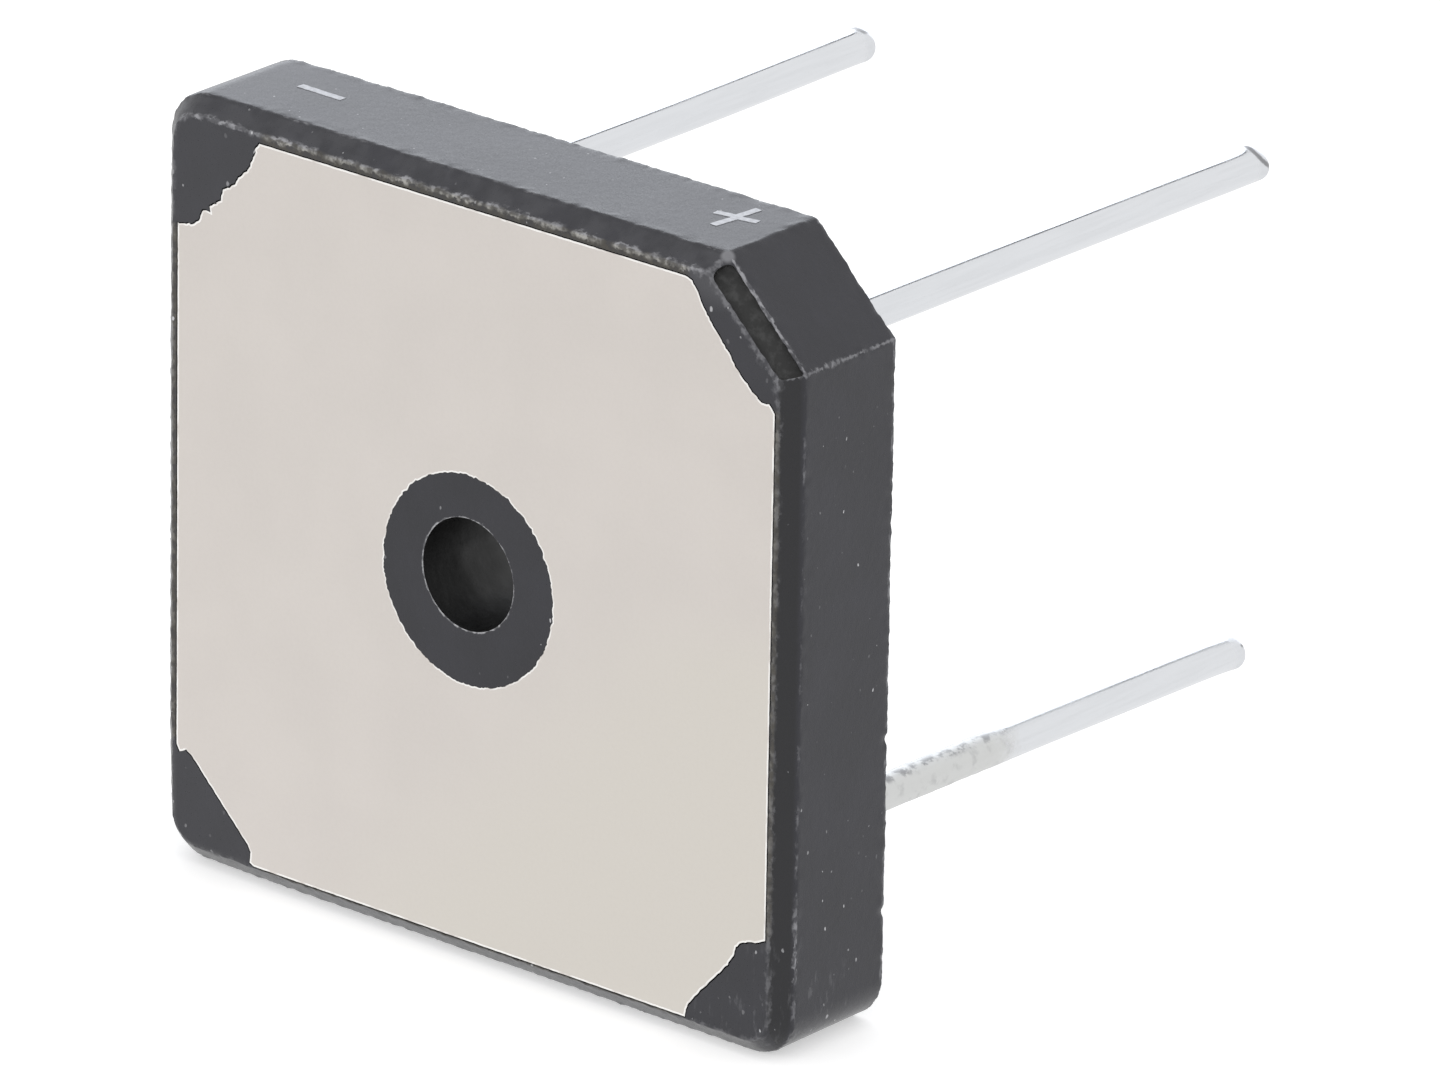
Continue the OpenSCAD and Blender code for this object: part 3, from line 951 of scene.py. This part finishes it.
def case_block(case):
    """The case's outer form, closed at the front and the back."""
    depth, bevel = millimetres(case.depth), millimetres(case.bevel)
    start = bevel + 0.3
    outer_bend, inner_bend, back_bend, back_width = 0.20, 0.10, 0.05, 0.3
    front_step, back_step = 0.14, 0.17
    front = rounded([Vector((0, start)), Vector((0, bevel)), Vector((bevel, 0)), Vector((2 * bevel, 0))],
                    [outer_bend, inner_bend])
    back = rounded([Vector((0, start)), Vector((0, depth)), Vector((back_width, depth))], [back_bend])
    bm = bmesh.new()
    place = bm.verts.layers.int.new("place")
    verts = [bm.verts.new((x, start, z)) for x, z in case_ring(case, 0)]
    for i, vert in enumerate(verts):
        vert[place] = i
    first = bm.faces.new(verts)
    to_front, to_back = spaced(front, front_step)[1:], spaced(back, back_step)[1:]
    second = draw_out(bm, first, case_ring(case, to_front[0].x), to_front[0].y)
    for face, path in ((second, to_front[1:]), (first, to_back)):
        for inset, y in path:
            drawn = draw_out(bm, face, case_ring(case, inset), y)
            bmesh.ops.delete(bm, geom=[face], context="FACES_ONLY")
            face = drawn
    bmesh.ops.recalc_face_normals(bm, faces=bm.faces)
    return bm


def edge_wave(place, half, rough):
    """How far a worn edge stands out at a place. The upper edges wave a little more."""
    wave = rough * noise.fractal(place * 2.8, 0.8, 2.1, 4)
    if place.z > half - 1:
        wave += 0.03 * noise.noise(place * 1.3)
    return wave


def weather_case(bm, case):
    """Lets the walls wave a little, and roughens and nicks the edges. The flat faces stay flat."""
    half, depth = millimetres(case.side) / 2, millimetres(case.depth)
    bevel, rough = millimetres(case.bevel), millimetres(case.edge_roughness)
    corner, cut = millimetres(case.corner), millimetres(case.cut)
    edges = [Vector((0, bevel)), Vector((bevel, 0)), Vector((0, depth))]
    bends = [Vector((half, half - cut)), Vector((half - cut, half))]
    nicks = [Vector((half, depth, height)) for height in NICKS]
    bm.normal_update()
    moves = []
    for vert in bm.verts:
        place = vert.co.copy()
        spot = Vector((outline_inset(place, half, corner, cut), place.y))
        to_edges = [(spot - edge).length for edge in edges]
        near = min(*to_edges, *((place.xz - bend).length for bend in bends))
        push = 0.008 * noise.noise(place * 0.4)
        for up, wear, reach in RUBBED:
            push -= wear * math.exp(-((place.xz - Vector((-half, up * half))).length / reach) ** 2)
        if near < EDGE_REACH:
            push += edge_wave(place, half, rough) * (1 - near / EDGE_REACH)
        from_back = to_edges[2]
        flash = 0
        if from_back < EDGE_REACH:
            proud = FLASH_RIGHT if place.x > half - 0.3 else FLASH
            flash = (proud + 0.03 * noise.noise(place * 0.8)) * (1 - from_back / EDGE_REACH)
            push -= NICK_DEPTH * sum(math.exp(-((place - nick).length / NICK_RADIUS) ** 2) for nick in nicks)
        is_front = spot.y < 0.01 and spot.x > bevel + 0.05
        is_back = spot.y > depth - 0.01 and spot.x > 0.25
        moves.append(vert.normal * (0 if is_front or is_back else push) - FRONT * (0 if is_back else flash))
    for vert, move in zip(bm.verts, moves):
        vert.co += move


def slot_cutter(case, slot):
    """The shape of the recess in the cut corner's slanted edge, round at its upper end."""
    bevel, cut = millimetres(case.bevel), millimetres(case.cut)
    half, sink = millimetres(case.side) / 2, millimetres(slot.sink)
    front_lip, side_lip = millimetres(slot.front_lip), millimetres(slot.side_lip)
    width = bevel * math.sqrt(2) - front_lip - side_lip
    high = cut / math.sqrt(2) - millimetres(slot.upper_margin)
    low = millimetres(slot.lower_margin) - cut / math.sqrt(2)
    upper_radius, lower_radius, step = width * 0.42, 0.12, 0.1
    # The lower end is slanted: how far its corners move, on the wall's side and on the front's
    wall_corner, front_corner = Vector((0, -0.1, 0)), Vector((0.07, 0.16, 0))
    bm = bmesh.new()
    bmesh.ops.create_grid(bm, x_segments=1, y_segments=1, size=0.5)
    bmesh.ops.scale(bm, vec=(width, high - low, 1), verts=bm.verts)
    bmesh.ops.translate(bm, vec=((front_lip - side_lip) / 2, (high + low) / 2, 0), verts=bm.verts)
    for vert in list(bm.verts):
        is_upper = vert.co.y > 0
        if not is_upper:
            vert.co += wall_corner if vert.co.x > 0 else front_corner
        bmesh.ops.bevel(bm, geom=[vert], offset=upper_radius if is_upper else lower_radius, segments=8,
                        offset_type="OFFSET", profile=0.5, affect="VERTICES", material=-1)
    divide(bm, step)
    for vert in bm.verts:
        vert.co.x += 0.03 * noise.fractal(vert.co * 3.5, 0.7, 2.1, 3)
    bmesh.ops.translate(bm, vec=(0, 0, -sink), verts=bm.verts)
    thicken(bm, (0, 0, 2 * sink))
    # The recess's faces take the painted shade of the second material
    for face in bm.faces:
        face.material_index = 1
    across, along = Vector((1, 0, 1)).normalized(), Vector((-1, 0, 1)).normalized()
    outward = (across + FRONT).normalized()
    turn = Matrix((along.cross(outward).normalized(), along, outward)).transposed().to_4x4()
    middle = across * ((2 * half - cut) / math.sqrt(2) - bevel / 2) + Vector((0, bevel / 2, 0))
    bmesh.ops.transform(bm, matrix=Matrix.Translation(middle) @ turn, verts=bm.verts)
    return bm


def hole_cutter(plate, depth):
    """The screw hole, a little wider at its mouths. It reaches past both faces."""
    radius, flare, past = millimetres(plate.hole), 0.015, 1
    widest = radius + flare + past
    bm = lathe([(0, -past), (widest, -past), (radius, flare), (radius, depth - flare),
                (widest, depth + past), (0, depth + past)], steps=96)
    # The hole's walls take the painted shade of the second material
    for face in bm.faces:
        face.material_index = 1 if abs(face.normal.z) < 0.1 else 0
    bmesh.ops.rotate(bm, cent=(0, 0, 0), matrix=Matrix.Rotation(math.radians(-90), 3, "X"),
                     verts=bm.verts)
    return bm


# The base plate

# Compound that has crept over each corner of the plate: the ragged edge of the metal, from the
# upright side to the level side, as distances from the plate's own corner
CREEP = {
    (1, 1): [(0, 3.95), (0.25, 3.65), (0.55, 3.7), (1.0, 3.4), (1.6, 2.85), (2.1, 2.2), (2.7, 1.55),
             (3.2, 0.9), (3.5, 0.35), (3.7, 0.1), (4.0, 0)],
    (-1, 1): [(0, 3.8), (0.7, 3.7), (1.0, 3.5), (1.1, 3.2), (1.2, 3.05), (1.45, 3.05), (1.5, 2.85),
              (1.8, 2.65), (1.95, 2.5), (2.1, 2.1), (2.65, 1.75), (2.8, 1.5), (3.25, 1.05), (3.4, 0.75),
              (3.65, 0.1), (3.75, 0)],
    (-1, -1): [(0, 3.65), (0.15, 3.4), (0.45, 3.55), (0.75, 3.35), (1.15, 2.95), (3.35, 0.75),
               (3.5, 0.5), (3.45, 0.1), (3.65, 0)],
    (1, -1): [(0, 3.8), (0.45, 3.6), (0.8, 3.55), (1.1, 3.4), (1.3, 3.2), (1.35, 2.95), (1.65, 2.45),
              (2.8, 1.2), (3.35, 0.55), (3.5, 0.1), (3.5, 0)],
}
# How far each of these edges wanders, and how far the plate's straight sides do
RAGGED = {(1, 1): 0.04, (-1, 1): 0.06, (-1, -1): 0.015, (1, -1): 0.035}
STRAIGHT = 0.008
# The ragged edges lie further than this from both middle lines of the plate, and nearer than that
RAGGED_FROM, RAGGED_TO = 9.4, 13.3
# How far the ring lies from the plate's middle, and how far its outline wanders
RING_SHIFT = Vector((-0.05, 0, -0.085))
RING_WOBBLE = 0.06
# Width of the seam that the case leaves round the plate
SEAM = 0.045


def plate_outline(low, high):
    """The metal's outline, going round its four corners."""
    points = []
    for right, up in ((1, 1), (-1, 1), (-1, -1), (1, -1)):
        corner = Vector((high.x if right > 0 else low.x, 0, high.z if up > 0 else low.z))
        edge = [corner - Vector((a * right, 0, b * up)) for a, b in CREEP[(right, up)]]
        points += edge if right == up else edge[::-1]
    return points


def plate_blank(plate, front=0.0, spread=0.0):
    """The plate with its ragged corners and its hole, as a closed slab that begins at front.

    Its sides are spread outwards by the given length."""
    low, high = PLATE_BOX[0] / MM, PLATE_BOX[1] / MM
    middle, thickness = (low + high) / 2, millimetres(plate.thickness)
    bm = bmesh.new()
    bm.faces.new([bm.verts.new(point) for point in plate_outline(low, high)])
    divide(bm, step=0.11)
    for vert in bm.verts:
        sides = abs(vert.co.x), abs(vert.co.z)
        is_ragged = min(sides) > RAGGED_FROM and max(sides) < RAGGED_TO
        corner = (1 if vert.co.x > 0 else -1, 1 if vert.co.z > 0 else -1)
        reach = RAGGED[corner] if is_ragged else STRAIGHT
        spot = vert.co * 5.0
        vert.co.x += reach * noise.fractal(spot, 0.5, 2.1, 4)
        vert.co.z += reach * noise.fractal(spot + Vector((7, 3, 1)), 0.5, 2.1, 4)
    bmesh.ops.translate(bm, vec=(0, front, 0), verts=bm.verts)
    thicken(bm, (0, thickness - front, 0))
    slab = cut_out(bm, [ring_cutter(plate, middle, front - 1, thickness + 1)])
    growth = 1 + spread / (high.x - middle.x)
    bmesh.ops.scale(slab, vec=(growth, 1, growth), verts=slab.verts,
                    space=Matrix.Translation((-middle.x, 0, -middle.z)))
    return slab


def ring_cutter(plate, middle, front, back):
    """The round hole in the plate that the compound ring fills, with its wavy outline."""
    bm = bmesh.new()
    bmesh.ops.create_circle(bm, cap_ends=True, segments=320, radius=millimetres(plate.ring), matrix=UPRIGHT)
    for vert in bm.verts:
        vert.co += vert.co.normalized() * RING_WOBBLE * noise.fractal(vert.co * 3.2, 0.6, 2.2, 4)
    bmesh.ops.translate(bm, vec=Vector((middle.x, front, middle.z)) + RING_SHIFT, verts=bm.verts)
    thicken(bm, (0, back - front, 0))
    return bm


# The leads

Wire = namedtuple("Wire", "worn slant drop rise back droop sag burr")
Burr = namedtuple("Burr", "start end strength place tilt")

# Directions across a lead, as seen by the camera: to the lead's upper side, and towards the camera
SHOULDER, FACING = Vector((0.52, 0.85, 0)), Vector((-0.85, 0.52, 0))
# How the shears and handling left each lead, in millimetres. The tip: the length worn off it, the slant
# of its end, how far it was pushed down, and how far its upper side was dragged up and back. The wire:
# how far its tip droops and its middle sags. The burr: where it starts and ends on the shoulder, in
# radii, how dark it is, its place before the tip and the tilt of its line
WIRES = {
    "plus": Wire(worn=0.25, slant=0.31, drop=-0.03, rise=0.16, back=0.14, droop=0.11, sag=0.0,
                 burr=Burr(start=-0.75, end=1.6, strength=0.95, place=-0.03, tilt=0.42)),
    "minus": Wire(worn=0.18, slant=0.08, drop=0.02, rise=0.10, back=0.08, droop=0.0, sag=0.15,
                  burr=Burr(start=0.3, end=1.4, strength=0.7, place=-0.50, tilt=0.84)),
    "ac_right": Wire(worn=0.28, slant=0.08, drop=0.06, rise=0.0, back=0.0, droop=0.13, sag=0.0,
                     burr=Burr(start=-0.32, end=0.05, strength=1.0, place=-0.29, tilt=0.0)),
    "ac_left": Wire(worn=0.2, slant=0.1, drop=0.05, rise=0.0, back=0.0, droop=0.04, sag=0.0,
                    burr=Burr(start=-0.2, end=0.5, strength=0.6, place=-0.24, tilt=0.0)),
}
# How far from the tip the shears slanted a wire and dragged it, and how far from the wire's middle
# line the drag has its full strength
SLANT_REACH, DRAG_REACH, DRAG_RADIUS = 2, 1.1, 0.6
# Where the roughness of the right AC lead ends, and where its stain fades out
ROUGH_END = 13
STAIN_END = (13.4, 15.4)


def lead_frame(name):
    """Where a lead leaves the case, and the turn that lays +Z along it."""
    mount = MOUNTS[name + "_lead"]
    place = Vector(mount["pos_m"]) / MM
    turn = Vector(mount["axis"]).to_track_quat("Z", "Y").to_matrix().to_4x4()
    return Matrix.Translation(place) @ turn


def lead_tip(name):
    """How far a lead reaches from the case."""
    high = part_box("lead_" + name)[1].y / MM
    return high - millimetres(MOUNTS[name + "_lead"]["pos_m"][1]) - WIRES[name].worn


def lead_mesh(name, leads):
    """A round wire with its head and collar inside the case and a worn tip."""
    radius, tip = millimetres(leads.radius), lead_tip(name)
    foot = millimetres(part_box("lead_" + name)[0].y - MOUNTS[name + "_lead"]["pos_m"][1])
    head_radius, head_top = 1.1, foot + 0.5
    collar_radius, collar_low, collar_high = 0.95, -0.6, -0.1
    tip_radius, step = 0.42, 0.25
    inside = [(0, foot), (head_radius, foot), (head_radius, head_top), (radius, head_top),
              (radius, collar_low), (collar_radius, collar_low), (collar_radius, collar_high)]
    end = rounded([Vector((radius, 0.2)), Vector((radius, tip)), Vector((0, tip))], [tip_radius], steps=8)
    wire = spaced([Vector((radius, collar_high)), end[0], end[1]], step)
    return lathe(inside + wire[:-1] + end[1:], steps=40)


def weather_lead(bm, name):
    """Lets a lead's surface wander, bends it and shears its tip. The right AC lead is rough near the case."""
    tip, wire = lead_tip(name), WIRES[name]
    wander, rough = 0.004, 0.014
    for vert in bm.verts:
        if vert.co.z < 0:
            continue
        push = wander * noise.noise(Vector((vert.co.x * 2, vert.co.y * 2, vert.co.z * 0.3)))
        if name == "ac_right" and vert.co.z < ROUGH_END:
            push += rough * noise.fractal(vert.co * 2.8, 0.7, 2.1, 4)
        away = Vector((vert.co.x, vert.co.y, 0))
        vert.co += away.normalized() * push
        near_tip = max(0, 1 - (tip - vert.co.z) / SLANT_REACH)
        dragged = max(0, 1 - (tip - vert.co.z) / DRAG_REACH) ** 2
        dragged *= max(0, away.dot(SHOULDER) / DRAG_RADIUS) ** 2
        vert.co += SHOULDER * wire.rise * dragged
        vert.co.z -= wire.back * dragged
        vert.co.z -= wire.slant * away.dot(SHOULDER) * near_tip
        vert.co -= SHOULDER * wire.drop * near_tip ** 2
        share = vert.co.z / tip
        vert.co.y -= wire.droop * share ** 2 + wire.sag * math.sin(math.pi * share)


# The polarity marks

# Each mark's strokes on the upper wall, from end to end
MARKS = {
    "minus_mark": [(Vector((-10.76, 3.35)), Vector((-8.75, 3.29)))],
    "plus_mark": [(Vector((7.95, 3.37)), Vector((9.67, 3.59))), (Vector((8.71, 2.36)), Vector((8.88, 4.56)))],
}


def mark_outline(strokes, width):
    """The outline of a bar, or of two bars that cross."""
    arms = []
    for start, end in strokes:
        run = (end - start).normalized()
        arms.append((start, end, Vector((run.y, -run.x)) * width / 2))
    if len(arms) == 1:
        start, end, side = arms[0]
        return [start + side, end + side, end - side, start - side]
    (left, right, drop), (low, high, shift) = arms
    rise = -drop
    middle = (left + right) / 2
    corners = [middle + x * shift + y * rise for x, y in ((-1, -1), (-1, 1), (1, 1), (1, -1))]
    return [left - rise, corners[0], low - shift, low + shift, corners[3], right - rise, right + rise,
            corners[2], high + shift, high - shift, corners[1], left + rise]


def mark_mesh(strokes, width, height, top):
    """A thin layer of ink with slightly uneven edges, that lies on the upper wall."""
    bm = bmesh.new()
    bm.faces.new([bm.verts.new((*point, top)) for point in mark_outline(strokes, width)])
    divide(bm, step=0.08)
    uneven = 0.02
    for vert in bm.verts:
        spot = vert.co * 5
        vert.co.x += uneven * noise.noise(spot)
        vert.co.y += uneven * noise.noise(spot + Vector((3, 5, 7)))
    thicken(bm, (0, 0, height))
    return bm


# Operators


class RECTIFIER_OT_make_case(bpy.types.Operator):
    """Build the moulded case"""

    bl_idname = "rectifier.make_case"
    bl_label = "Make case"

    def execute(self, context):
        settings = context.scene.rectifier
        bm = case_block(settings.case)
        weather_case(bm, settings.case)
        cutters = [plate_blank(settings.plate, front=-1.0, spread=SEAM),
                   hole_cutter(settings.plate, millimetres(settings.case.depth)),
                   slot_cutter(settings.case, settings.slot)]
        bm = cut_out(bm, cutters)
        set_shading(bm)
        # The second material paints shade into the hole and the recess
        materials = [compound_material(settings), shaded_recess_material(settings)]
        finish_piece("case", bm, materials, ["moulded_body"])
        return {"FINISHED"}


class RECTIFIER_OT_make_plate(bpy.types.Operator):
    """Build the metal base plate"""

    bl_idname = "rectifier.make_plate"
    bl_label = "Make plate"

    def execute(self, context):
        settings = context.scene.rectifier
        bm = plate_blank(settings.plate)
        bm.normal_update()
        face = [item for item in bm.faces if item.normal.dot(FRONT) > 0.9]
        # The plate's sides take the painted shade of the seam
        for item in bm.faces:
            item.material_index = 2 if abs(item.normal.dot(FRONT)) < 0.5 else 0
        # A thin strip along the front's edge takes the painted highlight
        highlight_strip = bmesh.ops.inset_region(bm, faces=face, thickness=millimetres(settings.plate.edge),
                                       use_boundary=True, use_even_offset=True)["faces"]
        for item in highlight_strip:
            item.material_index = 1
        set_shading(bm)
        materials = [nickel_material(settings), edge_highlight_material(settings), seam_shade_material(settings)]
        finish_piece("plate", bm, materials, ["base_plate"])
        return {"FINISHED"}


class RECTIFIER_OT_make_leads(bpy.types.Operator):
    """Build the four wire leads"""

    bl_idname = "rectifier.make_leads"
    bl_label = "Make leads"

    def execute(self, context):
        settings = context.scene.rectifier
        for name in LEADS:
            bm = lead_mesh(name, settings.leads)
            weather_lead(bm, name)
            bmesh.ops.transform(bm, matrix=lead_frame(name), verts=bm.verts)
            set_shading(bm)
            finish_piece("wire_" + name, bm, [tin_material(settings, name)], ["lead_" + name])
        return {"FINISHED"}


class RECTIFIER_OT_make_marks(bpy.types.Operator):
    """Build the polarity marks on the upper wall"""

    bl_idname = "rectifier.make_marks"
    bl_label = "Make marks"

    def execute(self, context):
        settings = context.scene.rectifier
        material = ink_material(settings)
        width, height = millimetres(settings.marks.stroke), millimetres(settings.marks.height)
        top = millimetres(settings.case.side) / 2
        for name, strokes in MARKS.items():
            finish_piece(name, mark_mesh(strokes, width, height, top), [material])
        return {"FINISHED"}


class RECTIFIER_OT_finish_circuit(bpy.types.Operator):
    """Give the pieces inside the case their materials"""

    bl_idname = "rectifier.finish_circuit"
    bl_label = "Finish circuit"

    def execute(self, context):
        finishes = {
            "insulation": plain_material("insulating_layer", (0.70, 0.68, 0.48), 0.0, 0.6, 1.5),
            "copper": plain_material("bare_copper", (0.56, 0.22, 0.10), 1.0, 0.35, 1.2),
            "silicon": plain_material("silicon_die", (0.10, 0.11, 0.15), 0.4, 0.25, 3.0),
            "solder": plain_material("soft_solder", (0.50, 0.50, 0.52), 1.0, 0.4, 2.0),
        }
        for part in frame["record"]["subparts"]:
            material = finishes.get(part["material_slot"])
            if material is not None:
                mesh = frame["nodes"][part["node"]].data
                mesh.materials.clear()
                mesh.materials.append(material)
        return {"FINISHED"}


class RECTIFIER_OT_set_stage(bpy.types.Operator):
    """Set up the camera, the floor and the light"""

    bl_idname = "rectifier.set_stage"
    bl_label = "Set stage"

    def execute(self, context):
        stage = context.scene.rectifier.stage
        set_camera(context, stage)
        set_floor(stage)
        set_world(context)
        set_panel(stage)
        context.scene.view_settings.view_transform = "Standard"
        return {"FINISHED"}


# The stage


def set_camera(context, stage):
    """The camera, at the photograph's viewing angle."""
    azimuth, elevation = stage.azimuth, stage.elevation
    back = Vector((math.sin(azimuth) * math.cos(elevation), -math.cos(azimuth) * math.cos(elevation),
                   math.sin(elevation)))
    level = Vector((0, 0, 1)).cross(back).normalized()
    above = back.cross(level)
    right = level * math.cos(stage.roll) + above * math.sin(stage.roll)
    up = above * math.cos(stage.roll) - level * math.sin(stage.roll)
    data = bpy.data.cameras.new("camera")
    data.sensor_width = 36.0
    data.lens = stage.lens
    data.clip_start, data.clip_end = 0.01, 20.0
    camera = shown("camera", data)
    place = back * stage.distance + right * stage.slide[0] + up * stage.slide[1]
    camera.matrix_world = Matrix.Translation(place) @ Matrix((right, up, back)).transposed().to_4x4()
    context.scene.camera = camera


def set_floor(stage):
    """A pale floor under the case. It looks white, and keeps the part's shadow."""
    lift_for_camera, floor_half = 0.45, 3.0
    material = bpy.data.materials.new("pale_floor")
    material.use_nodes = True
    tree = Tree(material.node_tree)
    material.node_tree.nodes.clear()
    path = tree.add("ShaderNodeLightPath").outputs
    matt = tree.add("ShaderNodeBsdfDiffuse", {"Color": opaque(stage.floor_colour)}).outputs[0]
    lift = tree.add("ShaderNodeEmission", {"Strength": tree.times(path["Is Camera Ray"], lift_for_camera)})
    seen = tree.add("ShaderNodeAddShader", {0: matt, 1: lift.outputs[0]}).outputs[0]
    white = tree.add("ShaderNodeEmission", {"Strength": 1.0}).outputs[0]
    mirrored = tree.most(path["Is Glossy Ray"], path["Is Transmission Ray"])
    surface = tree.add("ShaderNodeMixShader", {0: mirrored, 1: seen, 2: white}).outputs[0]
    tree.add("ShaderNodeOutputMaterial", {"Surface": surface})
    bm = bmesh.new()
    place = Matrix.Translation((0, 0, CASE_BOX[0].z))
    bmesh.ops.create_grid(bm, x_segments=8, y_segments=8, size=floor_half, matrix=place)
    mesh = mesh_from("floor", bm)
    mesh.materials.append(material)
    shown("floor", mesh)


def set_world(context):
    """A plain white surround."""
    world = bpy.data.worlds.new("white_surround")
    world.use_nodes = True
    background = world.node_tree.nodes["Background"]
    background.inputs["Color"].default_value = (1.0, 1.0, 1.0, 1.0)
    background.inputs["Strength"].default_value = 1.0
    context.scene.world = world


def set_panel(stage):
    """A large soft light panel behind the part on the left, with a dark bar along its upper edge."""
    distance, width, height = 0.6, 0.9, 0.467
    facing = Vector((-0.64, 0.7684, 0))
    turn = facing.to_track_quat("Z", "Y").to_matrix().to_4x4()
    foot = facing * distance + Vector((0, 0, CASE_BOX[0].z))
    data = bpy.data.lights.new("panel", "AREA")
    data.shape = "RECTANGLE"
    data.size, data.size_y = width, height
    data.energy = (stage.panel_light - 1) * math.pi * width * height
    data.color = (0.93, 1.0, 1.12)
    panel = shown("panel", data)
    panel.matrix_world = Matrix.Translation(foot + Vector((0, 0, height / 2))) @ turn
    panel.visible_camera = False
    set_bar(width * 1.2, Matrix.Translation(foot + Vector((0, 0, height))) @ turn)


def set_bar(width, place):
    """The dark bar, which only the part's reflections show."""
    height = 0.085
    bm = bmesh.new()
    bmesh.ops.create_grid(bm, x_segments=1, y_segments=1, size=0.5)
    bmesh.ops.scale(bm, vec=(width, height, 1), verts=bm.verts)
    bmesh.ops.transform(bm, matrix=place, verts=bm.verts)
    mesh = mesh_from("panel_bar", bm)
    material, _, shader = new_material("dark_bar")
    shader.inputs["Base Color"].default_value = (0.02, 0.02, 0.02, 1)
    mesh.materials.append(material)
    bar = shown("panel_bar", mesh)
    bar.visible_camera = False
    bar.visible_shadow = False


class RECTIFIER_PT_panel(bpy.types.Panel):
    """Lists the rectifier's pieces"""

    bl_label = "Bridge rectifier"
    bl_idname = "RECTIFIER_PT_panel"
    bl_space_type = "VIEW_3D"
    bl_region_type = "UI"
    bl_category = "Rectifier"

    def draw(self, context):
        settings = context.scene.rectifier
        for group in ("case", "slot", "plate", "leads", "marks", "stage"):
            box = self.layout.box()
            box.label(text=group.capitalize())
            values = getattr(settings, group)
            for name in values.bl_rna.properties.keys():
                if name not in ("rna_type", "name"):
                    box.prop(values, name)
        for operator in OPERATORS:
            self.layout.operator(operator.bl_idname)


SETTINGS = (CaseSettings, SlotSettings, PlateSettings, LeadSettings, MarkSettings, StageSettings,
            RectifierSettings)
OPERATORS = (RECTIFIER_OT_set_stage, RECTIFIER_OT_make_case, RECTIFIER_OT_make_plate,
             RECTIFIER_OT_make_leads, RECTIFIER_OT_make_marks, RECTIFIER_OT_finish_circuit)


def register():
    """Adds the classes and the settings."""
    for item in (*SETTINGS, *OPERATORS, RECTIFIER_PT_panel):
        bpy.utils.register_class(item)
    bpy.types.Scene.rectifier = PointerProperty(type=RectifierSettings)


def unregister():
    """Takes the settings and the classes away again."""
    del bpy.types.Scene.rectifier
    for item in reversed((*SETTINGS, *OPERATORS, RECTIFIER_PT_panel)):
        bpy.utils.unregister_class(item)


def main():
    """Builds every piece in order."""
    register()
    bpy.ops.rectifier.set_stage()
    bpy.ops.rectifier.make_case()
    bpy.ops.rectifier.make_plate()
    bpy.ops.rectifier.make_leads()
    bpy.ops.rectifier.make_marks()
    bpy.ops.rectifier.finish_circuit()
    bpy.context.view_layer.update()


if __name__ == "__main__":
    main()
